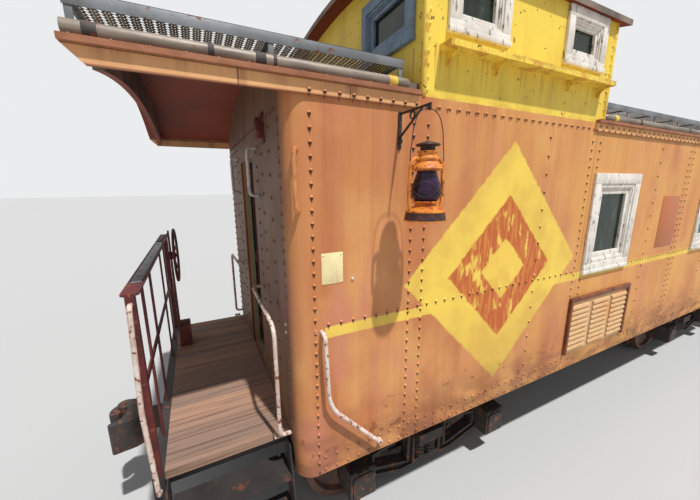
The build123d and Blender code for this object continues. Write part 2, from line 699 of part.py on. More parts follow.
# Side walls: sheet and lining as one panel, with a skirt over the side sill
window_mid_z = FLOOR_Z + SIDE_WINDOW_SILL + SIDE_WINDOW_HEIGHT / 2
wall_top_z = roof_crown_z
for name, side in (("left_side_wall", -1), ("right_side_wall", 1)):
    with BuildPart() as side_wall:
        with BuildSketch(wall_plane(side)):
            with Locations((0, (deck_z + wall_top_z) / 2)):
                Rectangle(2 * seam_x, wall_top_z - deck_z)
            for x in side_window_xs:
                with Locations((along(side, x), window_mid_z)):
                    Rectangle(SIDE_WINDOW_WIDTH, SIDE_WINDOW_HEIGHT, mode=Mode.SUBTRACT)
        extrude(amount=-WALL)
        with BuildSketch(wall_plane(side)):
            with Locations((0, (SKIRT_BOTTOM_Z + deck_z) / 2)):
                Rectangle(2 * seam_x, deck_z - SKIRT_BOTTOM_Z)
        extrude(amount=-SKIRT)
        add(above_ceiling.part, mode=Mode.SUBTRACT)
    side_wall.part.label = name
    export_step(side_wall.part, f"parts/{name}.step")

# End walls with rounded corners and a doorway
for name, end in (("front_end_wall", -1), ("rear_end_wall", 1)):
    with BuildPart() as end_wall:
        with BuildSketch(Plane.XY.offset(deck_z)):
            RectangleRounded(BODY_LENGTH, BODY_WIDTH, CORNER_RADIUS)
            RectangleRounded(BODY_LENGTH - 2 * WALL, BODY_WIDTH - 2 * WALL, CORNER_RADIUS - WALL,
                             mode=Mode.SUBTRACT)
            with Locations((end * (seam_x + half_body) / 2, 0)):
                Rectangle(half_body - seam_x, BODY_WIDTH, mode=Mode.INTERSECT)
        extrude(amount=wall_top_z - deck_z)
        with BuildSketch(end_plane(end, half_body)):
            with Locations((0, FLOOR_Z + DOOR_HOLE_HEIGHT / 2)):
                Rectangle(DOOR_HOLE_WIDTH, DOOR_HOLE_HEIGHT)
        extrude(amount=-WALL, mode=Mode.SUBTRACT)
        # Corner skirts
        with BuildSketch(Plane.XY.offset(SKIRT_BOTTOM_Z)):
            RectangleRounded(BODY_LENGTH, BODY_WIDTH, CORNER_RADIUS)
            RectangleRounded(BODY_LENGTH - 2 * SKIRT, BODY_WIDTH - 2 * SKIRT, CORNER_RADIUS - SKIRT,
                             mode=Mode.SUBTRACT)
            with Locations((end * (seam_x + half_body) / 2, -(corner_y + half_width) / 2),
                           (end * (seam_x + half_body) / 2, (corner_y + half_width) / 2)):
                Rectangle(half_body - seam_x, half_width - corner_y, mode=Mode.INTERSECT)
        extrude(amount=deck_z - SKIRT_BOTTOM_Z)
        add(above_ceiling.part, mode=Mode.SUBTRACT)
    end_wall.part.label = name
    export_step(end_wall.part, f"parts/{name}.step")

# Roof: an arched shell before and behind the cupola, with a flatter arched header at each end
roof_runs = ((-roof_half_length, cupola_front_x), (cupola_rear_x, roof_half_length))
with BuildPart() as roof:
    for start, stop in roof_runs:
        extrude(arched_band(roof_half_width, roof_crown_z, ROOF_RADIUS, ROOF_THICKNESS, start), amount=stop - start)
    header_side_z = FLOOR_Z + HEADER_CROWN - HEADER_RISE
    for end in (-1, 1):
        header_x = roof_half_length - HEADER_SETBACK
        ceiling_side_z = arch_z(ceiling_crown_z, ceiling_radius, roof_half_width)
        with BuildSketch(end_plane(end, header_x)):
            with BuildLine():
                ThreePointArc((-roof_half_width, ceiling_side_z + 5), (0, ceiling_crown_z + 5),
                              (roof_half_width, ceiling_side_z + 5))
                Line((roof_half_width, ceiling_side_z + 5), (roof_half_width, header_side_z))
                ThreePointArc((roof_half_width, header_side_z), (0, FLOOR_Z + HEADER_CROWN),
                              (-roof_half_width, header_side_z))
                Line((-roof_half_width, header_side_z), (-roof_half_width, ceiling_side_z + 5))
            make_face()
        extrude(amount=-HEADER_THICKNESS)
    # Hole for the stove's flue
    with BuildSketch(Plane.XY.offset(FLOOR_Z + FASCIA_TOP)):
        with Locations((stove_x, stove_y)):
            Circle(FLUE_RADIUS + FLUE_CLEARANCE)
    extrude(amount=roof_crown_z - FLOOR_Z - FASCIA_TOP, mode=Mode.SUBTRACT)
roof.part.label = "roof"
export_step(roof.part, "parts/roof.step")

# Eave fascias: a riveted plate under a lip, cut off at 45 degrees at the platform ends
fascia_z = FLOOR_Z + FASCIA_BOTTOM
fascia_top_z = FLOOR_Z + FASCIA_TOP
lip_top_z = fascia_top_z + LIP_HEIGHT
fascia_runs = ((-roof_half_length, cupola_front_x - FASCIA_BEFORE_CUPOLA, -1),
               (cupola_rear_x - FASCIA_UNDER_CUPOLA, roof_half_length, 1))
bevel = FASCIA_TOP - FASCIA_BOTTOM
with BuildPart() as eave_fascias:
    for side in (-1, 1):
        for start, stop, beveled_end in fascia_runs:
            low_start = start + (bevel if beveled_end < 0 else 0)
            low_stop = stop - (bevel if beveled_end > 0 else 0)
            with BuildSketch(wall_plane(side)):
                with BuildLine():
                    Polyline((along(side, low_start), fascia_z), (along(side, low_stop), fascia_z),
                             (along(side, stop), fascia_top_z), (along(side, stop), lip_top_z),
                             (along(side, start), lip_top_z), (along(side, start), fascia_top_z), close=True)
                make_face()
            extrude(amount=FASCIA_THICKNESS)
            with BuildSketch(wall_plane(side)):
                with Locations((along(side, (start + stop) / 2), fascia_top_z + LIP_HEIGHT / 2)):
                    Rectangle(stop - start, LIP_HEIGHT)
            extrude(amount=LIP_REACH)
eave_fascias.part.label = "eave_fascias"
export_step(eave_fascias.part, "parts/eave_fascias.step")

# Eave mouldings: a half-round bead along the roof sheet's edge, with a rounded end at the cupola
# Each run gives its start, its stop and the end at the cupola, which is rounded
moulding_front = (MOULDING_SETBACK - roof_half_length, cupola_front_x - MOULDING_BEFORE_CUPOLA)
moulding_rear = (cupola_rear_x + MOULDING_BEHIND_CUPOLA, roof_half_length - MOULDING_SETBACK)
moulding_runs = ((*moulding_front, moulding_front[1]), (*moulding_rear, moulding_rear[0]))
moulding_z = lip_top_z + MOULDING_RADIUS
with BuildPart() as eave_mouldings:
    for side in (-1, 1):
        for start, stop, rounded_x in moulding_runs:
            with BuildSketch(Plane.YZ.offset(start)):
                with Locations((side * (roof_half_width + MOULDING_RADIUS), moulding_z)):
                    Circle(MOULDING_RADIUS)
                with Locations((side * (roof_half_width + MOULDING_RADIUS / 2), moulding_z)):
                    Rectangle(MOULDING_RADIUS, 2 * MOULDING_RADIUS)
            extrude(amount=stop - start)
            with Locations((rounded_x, side * (roof_half_width + MOULDING_RADIUS), moulding_z)):
                Sphere(MOULDING_RADIUS)
eave_mouldings.part.label = "eave_mouldings"
export_step(eave_mouldings.part, "parts/eave_mouldings.step")

# Cupola side walls, flush with the sides of the car
cupola_wall_low_z = arch_z(ceiling_crown_z, ceiling_radius, half_width) - 20
cupola_window_mid_z = FLOOR_Z + CUPOLA_SIDE_WINDOW_SILL + CUPOLA_SIDE_WINDOW_HEIGHT / 2
cupola_window_xs = (cupola_x - CUPOLA_SIDE_WINDOW_OFFSET, cupola_x + CUPOLA_SIDE_WINDOW_OFFSET)
with BuildPart() as cupola_side_walls:
    for side in (-1, 1):
        with BuildSketch(wall_plane(side)):
            with Locations((along(side, cupola_x), (cupola_wall_low_z + cupola_crown_z) / 2)):
                Rectangle(CUPOLA_LENGTH, cupola_crown_z - cupola_wall_low_z)
            for x in cupola_window_xs:
                with Locations((along(side, x), cupola_window_mid_z)):
                    Rectangle(CUPOLA_SIDE_WINDOW_WIDTH, CUPOLA_SIDE_WINDOW_HEIGHT, mode=Mode.SUBTRACT)
        extrude(amount=-WALL)
    add(above_ceiling.part, mode=Mode.INTERSECT)
    add(above_cupola.part, mode=Mode.SUBTRACT)
cupola_side_walls.part.label = "cupola_side_walls"
export_step(cupola_side_walls.part, "parts/cupola_side_walls.step")

# Cupola end walls, on the roof's carlines
end_window_mid_z = FLOOR_Z + CUPOLA_END_WINDOW_SILL + CUPOLA_END_WINDOW_HEIGHT / 2
end_window_y = half_width - CUPOLA_END_WINDOW_FROM_SIDE
end_window_ys = (-end_window_y, end_window_y)
with BuildPart() as cupola_end_walls:
    for x in (cupola_front_x, cupola_rear_x - WALL):
        with BuildSketch(Plane.YZ.offset(x)):
            with Locations((0, (cupola_wall_low_z + cupola_crown_z) / 2)):
                Rectangle(2 * (half_width - WALL), cupola_crown_z - cupola_wall_low_z)
            for y in end_window_ys:
                with Locations((y, end_window_mid_z)):
                    Rectangle(CUPOLA_END_WINDOW_WIDTH, CUPOLA_END_WINDOW_HEIGHT, mode=Mode.SUBTRACT)
        extrude(amount=WALL)
    add(above_ceiling.part, mode=Mode.INTERSECT)
    add(above_cupola.part, mode=Mode.SUBTRACT)
cupola_end_walls.part.label = "cupola_end_walls"
export_step(cupola_end_walls.part, "parts/cupola_end_walls.step")

# Cupola roof
with BuildPart() as cupola_roof:
    extrude(
        arched_band(half_width + CUPOLA_ROOF_EAVE, cupola_crown_z, CUPOLA_ROOF_RADIUS, CUPOLA_ROOF_THICKNESS,
                    cupola_front_x - CUPOLA_ROOF_OVERHANG),
        amount=CUPOLA_LENGTH + 2 * CUPOLA_ROOF_OVERHANG)
cupola_roof.part.label = "cupola_roof"
export_step(cupola_roof.part, "parts/cupola_roof.step")

# Ledges below the cupola's side windows, each on four gusset brackets
ledge_z = FLOOR_Z + LEDGE_TOP
ledge_length = CUPOLA_LENGTH - 2 * LEDGE_FROM_CORNER
end_bracket = ledge_length / 2 - LEDGE_END_BRACKET
with BuildPart() as cupola_ledges:
    for side in (-1, 1):
        with BuildSketch(wall_plane(side)):
            with Locations((along(side, cupola_x), ledge_z - LEDGE_THICKNESS / 2)):
                Rectangle(ledge_length, LEDGE_THICKNESS)
        extrude(amount=LEDGE_WIDTH)
        for offset_x in (-end_bracket, -LEDGE_INNER_BRACKET, LEDGE_INNER_BRACKET, end_bracket):
            with BuildSketch(Plane.YZ.offset(cupola_x + offset_x)):
                with BuildLine():
                    # A gusset with a curved front edge, let 2 mm into the ledge
                    top = ledge_z - LEDGE_THICKNESS + 2
                    low = top - LEDGE_BRACKET_DROP
                    tip_y = side * (half_width + LEDGE_WIDTH - 15)
                    Polyline((side * (half_width + 22), low), (side * half_width, low), (side * half_width, top),
                             (tip_y, top), (tip_y, top - 20))
                    ThreePointArc((tip_y, top - 20), (side * (half_width + 42), top - 42),
                                  (side * (half_width + 22), low))
                make_face()
            extrude(amount=LEDGE_BRACKET_THICKNESS / 2, both=True)
cupola_ledges.part.label = "cupola_ledges"
export_step(cupola_ledges.part, "parts/cupola_ledges.step")

# Eave walkways: a level grating on the roof's shoulder with an outer angle and feet
walkway_z = FLOOR_Z + WALKWAY_TOP
walkway_outer_y = half_width - WALKWAY_FROM_SIDE
walkway_inner_y = walkway_outer_y - WALKWAY_WIDTH
walkway_end_x = roof_half_length + WALKWAY_BEYOND_ROOF
walkway_runs = ((-walkway_end_x, cupola_front_x - WALKWAY_FROM_CUPOLA, WALKWAY_FEET[0]),
                (cupola_rear_x + WALKWAY_FROM_CUPOLA, walkway_end_x, WALKWAY_FEET[1]))
with BuildPart() as eave_walkways:
    for side in (-1, 1):
        for start, stop, foot_count in walkway_runs:
            with BuildSketch(Plane.YZ.offset(start)):
                with Locations((side * (walkway_outer_y + walkway_inner_y) / 2,
                                walkway_z - WALKWAY_THICKNESS / 2)):
                    Rectangle(WALKWAY_WIDTH, WALKWAY_THICKNESS)
                with Locations((side * (walkway_outer_y - WALKWAY_ANGLE / 2), walkway_z - WALKWAY_ANGLE_DEPTH / 2)):
                    Rectangle(WALKWAY_ANGLE, WALKWAY_ANGLE_DEPTH)
            extrude(amount=stop - start)
            foot_y = walkway_outer_y - WALKWAY_ANGLE - 5
            foot_low_z = arch_z(roof_crown_z, ROOF_RADIUS, foot_y - WALKWAY_FOOT / 2) - 4
            foot_pitch = (stop - start - 2 * WALKWAY_END_FOOT) / (foot_count - 1)
            with BuildSketch(Plane.XY.offset(walkway_z - WALKWAY_THICKNESS)):
                with Locations(((start + stop) / 2, side * (foot_y - WALKWAY_FOOT / 2))):
                    with GridLocations(foot_pitch, 0, foot_count, 1):
                        Rectangle(WALKWAY_FOOT, WALKWAY_FOOT)
            extrude(amount=foot_low_z - (walkway_z - WALKWAY_THICKNESS))
    # The feet stop on the roof sheet
    for start, stop in roof_runs:
        extrude(arched_band(roof_half_width, roof_crown_z, ROOF_RADIUS, ROOF_THICKNESS * 2, start),
                amount=stop - start, mode=Mode.SUBTRACT)
eave_walkways.part.label = "eave_walkways"
export_step(eave_walkways.part, "parts/eave_walkways.step")

# Window frames: a lining through the wall, an outer trim and one meeting rail
with BuildPart() as side_window_frames:
    for side in (-1, 1):
        plane = wall_plane(side)
        for x in side_window_xs:
            centre = (along(side, x), window_mid_z)
            extrude(window_ring(plane, centre, SIDE_WINDOW_WIDTH, SIDE_WINDOW_HEIGHT, SASH_WIDTH, 0), amount=-WALL)
            extrude(window_ring(plane, centre, SIDE_WINDOW_WIDTH, SIDE_WINDOW_HEIGHT, SASH_WIDTH, TRIM_WIDTH),
                    amount=TRIM_THICKNESS)
side_window_frames.part.label = "side_window_frames"
export_step(side_window_frames.part, "parts/side_window_frames.step")

with BuildPart() as cupola_window_frames:
    for side in (-1, 1):
        plane = wall_plane(side)
        for x in cupola_window_xs:
            centre = (along(side, x), cupola_window_mid_z)
            extrude(window_ring(plane, centre, CUPOLA_SIDE_WINDOW_WIDTH, CUPOLA_SIDE_WINDOW_HEIGHT, SASH_WIDTH, 0),
                    amount=-WALL)
            extrude(window_ring(plane, centre, CUPOLA_SIDE_WINDOW_WIDTH, CUPOLA_SIDE_WINDOW_HEIGHT, SASH_WIDTH,
                                SASH_WIDTH), amount=TRIM_THICKNESS)
    for end, wall_x in ((-1, cupola_front_x), (1, cupola_rear_x)):
        plane = end_plane(end, end * wall_x)
        for y in end_window_ys:
            centre = (end * y, end_window_mid_z)
            extrude(window_ring(plane, centre, CUPOLA_END_WINDOW_WIDTH, CUPOLA_END_WINDOW_HEIGHT, SASH_WIDTH, 0),
                    amount=-WALL)
            extrude(window_ring(plane, centre, CUPOLA_END_WINDOW_WIDTH, CUPOLA_END_WINDOW_HEIGHT, SASH_WIDTH,
                                SASH_WIDTH), amount=TRIM_THICKNESS)
cupola_window_frames.part.label = "cupola_window_frames"
export_step(cupola_window_frames.part, "parts/cupola_window_frames.step")


def pane(plane, centre, width, height):
    """Glass that fills a window frame, set back from the wall's outer face."""
    with BuildSketch(plane.offset(-GLASS_SETBACK)) as glass:
        with Locations(centre):
            Rectangle(width - 2 * SASH_WIDTH, height - 2 * SASH_WIDTH)
    return glass.sketch


with BuildPart() as window_glass:
    for side in (-1, 1):
        for x in side_window_xs:
            extrude(pane(wall_plane(side), (along(side, x), window_mid_z), SIDE_WINDOW_WIDTH, SIDE_WINDOW_HEIGHT),
                    amount=-GLASS_THICKNESS)
        for x in cupola_window_xs:
            extrude(pane(wall_plane(side), (along(side, x), cupola_window_mid_z), CUPOLA_SIDE_WINDOW_WIDTH,
                         CUPOLA_SIDE_WINDOW_HEIGHT), amount=-GLASS_THICKNESS)
    for end, wall_x in ((-1, cupola_front_x), (1, cupola_rear_x)):
        for y in end_window_ys:
            extrude(pane(end_plane(end, end * wall_x), (end * y, end_window_mid_z), CUPOLA_END_WINDOW_WIDTH,
                         CUPOLA_END_WINDOW_HEIGHT), amount=-GLASS_THICKNESS)
window_glass.part.label = "window_glass"
export_step(window_glass.part, "parts/window_glass.step")

# End doors, stood open into the cabin. The leaf is drawn on its own plane: its width runs from the
# hinge edge along x, its height along y, and its normal points out of the cabin when it is shut.
door_width = DOOR_HOLE_WIDTH - 2 * DOOR_GAP
door_height = DOOR_HOLE_HEIGHT - 2 * DOOR_GAP
hinge_x = half_body - WALL - DOOR_PIN_STANDOFF
hinge_y = DOOR_HOLE_WIDTH / 2
for name, end, hinge_side, open_angle in DOOR_TABLE:
    # Shut, the leaf runs from the hinge towards the other jamb
    swing = math.radians(open_angle)
    leaf_x = -end * math.sin(swing)
    leaf_y = -hinge_side * math.cos(swing)
    normal_x = end * math.cos(swing)
    normal_y = -hinge_side * math.sin(swing)
    hinge = Vector(end * hinge_x, hinge_side * hinge_y, FLOOR_Z + DOOR_GAP)
    leaf = Plane(origin=hinge, x_dir=(leaf_x, leaf_y, 0), z_dir=(normal_x, normal_y, 0))
    flip = 1 if leaf.y_dir.Z > 0 else -1
    face_offset = DOOR_PIN_STANDOFF
    window_y = flip * (DOOR_WINDOW_SILL + DOOR_WINDOW_HEIGHT / 2)
    leaf_mid = (DOOR_GAP + door_width / 2, flip * door_height / 2)
    with BuildPart() as door:
        with BuildSketch(leaf.offset(face_offset)):
            with Locations(leaf_mid):
                Rectangle(door_width, door_height)
            with Locations((leaf_mid[0], window_y)):
                Rectangle(DOOR_WINDOW_WIDTH, DOOR_WINDOW_HEIGHT, mode=Mode.SUBTRACT)
        extrude(amount=DOOR_THICKNESS)
        # Two recessed lower panels on both faces
        for depth in (face_offset, face_offset + DOOR_THICKNESS - DOOR_PANEL_DEPTH):
            with BuildSketch(leaf.offset(depth)):
                for offset_x in (-DOOR_PANEL_OFFSET, DOOR_PANEL_OFFSET):
                    with Locations((leaf_mid[0] + offset_x, flip * (DOOR_PANEL_SILL + DOOR_PANEL_HEIGHT / 2))):
                        Rectangle(DOOR_PANEL_WIDTH, DOOR_PANEL_HEIGHT)
            extrude(amount=DOOR_PANEL_DEPTH, mode=Mode.SUBTRACT)
        # Hinge knuckles on the pin line, joined to the leaf's inner face by their flaps
        for height in HINGE_HEIGHTS:
            with BuildSketch(Plane(origin=hinge + Vector(0, 0, height - HINGE_HEIGHT / 2), z_dir=(0, 0, 1))):
                Circle(DOOR_PIN_STANDOFF - DOOR_PIN_CLEARANCE)
            extrude(amount=HINGE_HEIGHT)
            with BuildSketch(leaf.offset(face_offset - HINGE_LEAF_THICKNESS)):
                with Locations((HINGE_LEAF / 2, flip * height)):
                    Rectangle(HINGE_LEAF, HINGE_HEIGHT)
            extrude(amount=HINGE_LEAF_THICKNESS)
        # A stem through the leaf with a round knob at each end
        knob_x = DOOR_GAP + door_width - KNOB_FROM_EDGE
        with BuildSketch(leaf.offset(face_offset - KNOB_REACH)):
            with Locations((knob_x, flip * KNOB_HEIGHT)):
                Circle(KNOB_STEM)
        extrude(amount=DOOR_THICKNESS + 2 * KNOB_REACH)
        for depth in (face_offset - KNOB_REACH, face_offset + DOOR_THICKNESS + KNOB_REACH - KNOB_THICKNESS):
            with BuildSketch(leaf.offset(depth)):
                with Locations((knob_x, flip * KNOB_HEIGHT)):
                    Circle(KNOB_RADIUS)
            extrude(amount=KNOB_THICKNESS)
    door.part.label = f"{name}_door"
    export_step(door.part, f"parts/{name}_door.step")
    with BuildPart() as door_glass:
        with BuildSketch(leaf.offset(face_offset + (DOOR_THICKNESS - GLASS_THICKNESS) / 2)):
            with Locations((leaf_mid[0], window_y)):
                Rectangle(DOOR_WINDOW_WIDTH, DOOR_WINDOW_HEIGHT)
        extrude(amount=GLASS_THICKNESS)
    door_glass.part.label = f"{name}_door_glass"
    export_step(door_glass.part, f"parts/{name}_door_glass.step")
    print(name, "door hinge at", tuple(round(v, 2) for v in hinge))

# End railings: two corner posts, a flat top rail, a middle rail and four flat uprights
railing_x = end_sill_x - END_SILL_THICKNESS / 2
railing_top_z = FLOOR_Z + RAILING_HEIGHT
post_y = end_sill_half_width - RAIL_POST / 2
with BuildPart() as end_railings:
    for end in (-1, 1):
        with BuildSketch(Plane.XY.offset(FLOOR_Z)):
            with Locations((end * railing_x, -post_y), (end * railing_x, post_y)):
                Rectangle(RAIL_POST, RAIL_POST)
            for thirds in (-2, -1, 1, 2):
                with Locations((end * railing_x, thirds * end_sill_half_width / 3)):
                    Rectangle(UPRIGHT_THICKNESS, UPRIGHT_WIDTH)
        extrude(amount=RAILING_HEIGHT - RAIL_TOP_THICKNESS)
        with BuildSketch(Plane.XY.offset(railing_top_z - RAIL_TOP_THICKNESS)):
            with Locations((end * railing_x, 0)):
                RectangleRounded(RAIL_TOP_WIDTH, 2 * end_sill_half_width, RAIL_TOP_WIDTH / 4)
        extrude(amount=RAIL_TOP_THICKNESS)
        with BuildSketch(Plane.XZ.offset(-post_y)):
            with Locations((end * railing_x, FLOOR_Z + RAIL_MIDDLE_HEIGHT)):
                Rectangle(RAIL_BAR, RAIL_MIDDLE_DEPTH)
        extrude(amount=2 * post_y)
end_railings.part.label = "end_railings"
export_step(end_railings.part, "parts/end_railings.step")

# Brake wheels: a round rim on dished spokes, on a shaft through a two-legged stand that is stayed to
# the railing, with a gear case at its foot
wheel_x = half_body + BRAKE_WHEEL_FROM_END
stand_x = wheel_x + BRAKE_STAND_SETBACK
brake_z = FLOOR_Z + BRAKE_WHEEL_HEIGHT
stand_top_z = FLOOR_Z + BRAKE_STAND_HEIGHT
rim_centre = BRAKE_WHEEL_RADIUS - BRAKE_WHEEL_RIM
with BuildPart() as brake_wheels:
    for end in (-1, 1):
        brake_y = -end * BRAKE_STAND_Y
        wheel_centre = (end * wheel_x, brake_y, brake_z)
        with BuildSketch(Plane(origin=wheel_centre, x_dir=(0, 0, 1), z_dir=(0, 1, 0))):
            with Locations((rim_centre, 0)):
                Circle(BRAKE_WHEEL_RIM)
        revolve(axis=Axis(wheel_centre, (1, 0, 0)))
        # A spoke's plane holds the shaft's line as its y and points outwards along the spoke as its x
        dish = end * BRAKE_WHEEL_DISH
        for spoke in range(SPOKE_COUNT):
            angle = math.radians(360 * spoke / SPOKE_COUNT)
            with BuildSketch(Plane(origin=wheel_centre, x_dir=(0, math.sin(angle), math.cos(angle)),
                                   z_dir=(0, math.cos(angle), -math.sin(angle)))):
                with BuildLine():
                    Polyline((BRAKE_SHAFT_RADIUS, dish - SPOKE_THICKNESS / 2), (rim_centre, -SPOKE_THICKNESS / 2),
                             (rim_centre, SPOKE_THICKNESS / 2), (BRAKE_SHAFT_RADIUS, dish + SPOKE_THICKNESS / 2),
                             close=True)
                make_face()
            extrude(amount=SPOKE_WIDTH / 2, both=True)
        # Hub, shaft and the bearing on the stand
        for start, length, radius in ((BRAKE_WHEEL_DISH - 22, 40, BRAKE_HUB_RADIUS),
                                      (BRAKE_WHEEL_DISH - 34, 80, BRAKE_SHAFT_RADIUS),
                                      (BRAKE_STAND_SETBACK - 10, 34, BRAKE_HUB_RADIUS + 8)):
            with BuildSketch(end_plane(end, wheel_x + start)):
                with Locations((end * brake_y, brake_z)):
                    Circle(radius)
            extrude(amount=length)
        # Stand: two legs that lean together, with a plate for the bearing
        mid_y = end * brake_y
        with BuildSketch(end_plane(end, stand_x)):
            with BuildLine():
                Polyline((mid_y - BRAKE_STAND_FOOT, FLOOR_Z), (mid_y + BRAKE_STAND_FOOT, FLOOR_Z),
                         (mid_y + BRAKE_STAND_HEAD, stand_top_z), (mid_y - BRAKE_STAND_HEAD, stand_top_z), close=True)
            make_face()
            with BuildLine():
                inner_foot = BRAKE_STAND_FOOT - BRAKE_LEG_WIDTH
                inner_head = BRAKE_STAND_HEAD - BRAKE_LEG_WIDTH / 2
                Polyline((mid_y - inner_foot, FLOOR_Z), (mid_y + inner_foot, FLOOR_Z),
                         (mid_y + inner_head, stand_top_z - BRAKE_LEG_WIDTH),
                         (mid_y - inner_head, stand_top_z - BRAKE_LEG_WIDTH), close=True)
            make_face(mode=Mode.SUBTRACT)
            with Locations((mid_y, brake_z)):
                Circle(BRAKE_HUB_RADIUS + 20)
        extrude(amount=BRAKE_STAND_THICKNESS)
        # Stay from the stand's head down to the railing's top
        with BuildSketch(Plane.XZ.offset(-brake_y - BRAKE_LEG_WIDTH / 2)):
            with BuildLine():
                Polyline((end * stand_x, stand_top_z), (end * stand_x, stand_top_z - RAIL_BAR),
                         (end * (railing_x - 12), railing_top_z), (end * (railing_x + 30), railing_top_z),
                         (end * (railing_x + 30), railing_top_z + RAIL_BAR / 2),
                         (end * (railing_x - 8), railing_top_z + RAIL_BAR / 2), close=True)
            make_face()
        extrude(amount=BRAKE_LEG_WIDTH)
        # Gear case
        with BuildSketch(end_plane(end, stand_x - GEAR_CASE_LENGTH)):
            with Locations((mid_y, FLOOR_Z + GEAR_CASE_HEIGHT / 2)):
                Rectangle(2 * GEAR_CASE_RADIUS, GEAR_CASE_HEIGHT)
            with Locations((mid_y, FLOOR_Z + GEAR_CASE_HEIGHT)):
                Circle(GEAR_CASE_RADIUS)
        extrude(amount=GEAR_CASE_LENGTH)
brake_wheels.part.label = "brake_wheels"
export_step(brake_wheels.part, "parts/brake_wheels.step")

# Steps: two cheeks with a curved front edge and three treads at each corner of the car
cheek_inner_x = half_body + CHEEK_FROM_WALL
cheek_outer_x = platform_end_x - CHEEK_FROM_SILL
cheek_inner_y = half_width - CHEEK_INNER_FROM_SIDE
cheek_top_y = half_width - CHEEK_TOP_FROM_SIDE
low_z, low_reach = STEP_TREADS[-1]
low_edge_y = half_width + low_reach + STEP_CHEEK / 2
with BuildPart() as steps:
    for end in (-1, 1):
        for side in (-1, 1):
            hand = end * side
            for cheek_x in (cheek_inner_x, cheek_outer_x - STEP_CHEEK):
                with BuildSketch(end_plane(end, cheek_x)):
                    with BuildLine():
                        front_foot = (hand * low_edge_y, low_z + CHEEK_ABOVE_TREAD)
                        front_top = (hand * cheek_top_y, deck_z)
                        bulge = (hand * ((low_edge_y + cheek_top_y) / 2 - CHEEK_BULGE),
                                 (low_z + CHEEK_ABOVE_TREAD + deck_z) / 2)
                        ThreePointArc(front_top, bulge, front_foot)
                        Polyline(front_foot, (hand * low_edge_y, low_z - CHEEK_BELOW_TREAD),
                                 (hand * (half_width + low_reach - STEP_TREAD_DEPTH), low_z - CHEEK_BELOW_TREAD),
                                 (hand * cheek_inner_y, deck_z), front_top)
                    make_face()
                extrude(amount=STEP_CHEEK)
            with BuildSketch(end_plane(end, cheek_inner_x + STEP_CHEEK)):
                for tread_z, reach in STEP_TREADS:
                    with Locations((hand * (half_width + reach - STEP_TREAD_DEPTH / 2),
                                    tread_z - STEP_TREAD_THICKNESS / 2)):
                        Rectangle(STEP_TREAD_DEPTH, STEP_TREAD_THICKNESS)
            extrude(amount=cheek_outer_x - cheek_inner_x - 2 * STEP_CHEEK)
steps.part.label = "steps"
export_step(steps.part, "parts/steps.step")


def pipe(points, radii):
    """Round bar bent along a route; one radius for each inner corner."""
    with BuildPart() as bar:
        with BuildLine() as route:
            FilletPolyline(*points, radius=radii)
        with BuildSketch(Plane(origin=route.line @ 0, z_dir=route.line % 0)):
            Circle(PIPE_RADIUS)
        sweep(path=route.line)
    return bar.part


# Corner handrails: for each corner of the cabin an end rail, a side rail and a rail by the end post
with BuildPart() as handrails:
    for end in (-1, 1):
        wall_x = end * half_body
        rail_x = end * (half_body + STANDOFF)
        inner_z, outer_z, foot_z = (FLOOR_Z + height for height in END_RAIL_HEIGHTS)
        post_top_z, post_bend_z, post_foot_z = (FLOOR_Z + height for height in POST_RAIL_HEIGHTS)
        for side in (-1, 1):
            inner_y = side * (DOOR_HOLE_WIDTH / 2 + END_RAIL_FROM_DOOR)
            outer_y = side * (half_width - END_RAIL_FROM_SIDE)
            add(pipe([(wall_x, inner_y, inner_z), (rail_x, inner_y, inner_z), (rail_x, outer_y, outer_z),
                      (rail_x, outer_y, foot_z), (wall_x, outer_y, foot_z)], [40, 90, 40]))
            top, bend, foot = ((end * (seam_x - behind), FLOOR_Z + height) for behind, height in SIDE_RAIL_ROUTE)
            wall_y = side * half_width
            side_y = side * (half_width + SIDE_RAIL_STANDOFF)
            add(pipe([(top[0], wall_y, top[1]), (top[0], side_y, top[1]), (bend[0], side_y, bend[1]),
                      (foot[0], side_y, foot[1]), (foot[0], wall_y, foot[1])], [35, 300, 35]))
            sill_y = side * end_sill_half_width
            out_y = side * (end_sill_half_width + POST_RAIL_STANDOFF)
            add(pipe([(end * railing_x, sill_y, post_top_z), (end * railing_x, out_y, post_top_z),
                      (end * (railing_x + 20), out_y, post_bend_z), (end * railing_x, out_y, post_foot_z),
                      (end * railing_x, sill_y, post_foot_z)], [28, 900, 28]))
handrails.part.label = "handrails"
export_step(handrails.part, "parts/handrails.step")

# Grab irons: one on each rounded corner and one beside each doorway
with BuildPart() as grab_irons:
    for end in (-1, 1):
        for side in (-1, 1):
            angle = math.radians(CORNER_GRAB_ANGLE)
            out_x = end * math.cos(angle)
            out_y = side * math.sin(angle)
            high, low = (FLOOR_Z + height for height in CORNER_GRAB_HEIGHTS)
            foot = (end * (half_body - CORNER_RADIUS) + CORNER_RADIUS * out_x, side * corner_y + CORNER_RADIUS * out_y)
            bar = (foot[0] + CORNER_GRAB_STANDOFF * out_x, foot[1] + CORNER_GRAB_STANDOFF * out_y)
            add(pipe([(*foot, high), (*bar, high), (*bar, low), (*foot, low)], [25, 25]))
            high, low = (FLOOR_Z + height for height in DOOR_GRAB_HEIGHTS)
            grab_y = side * (DOOR_HOLE_WIDTH / 2 + DOOR_GRAB_FROM_DOOR)
            bar_x = end * (half_body + DOOR_GRAB_STANDOFF)
            add(pipe([(end * half_body, grab_y, high), (bar_x, grab_y, high), (bar_x, grab_y, low),
                      (end * half_body, grab_y, low)], [35, 35]))
grab_irons.part.label = "grab_irons"
export_step(grab_irons.part, "parts/grab_irons.step")

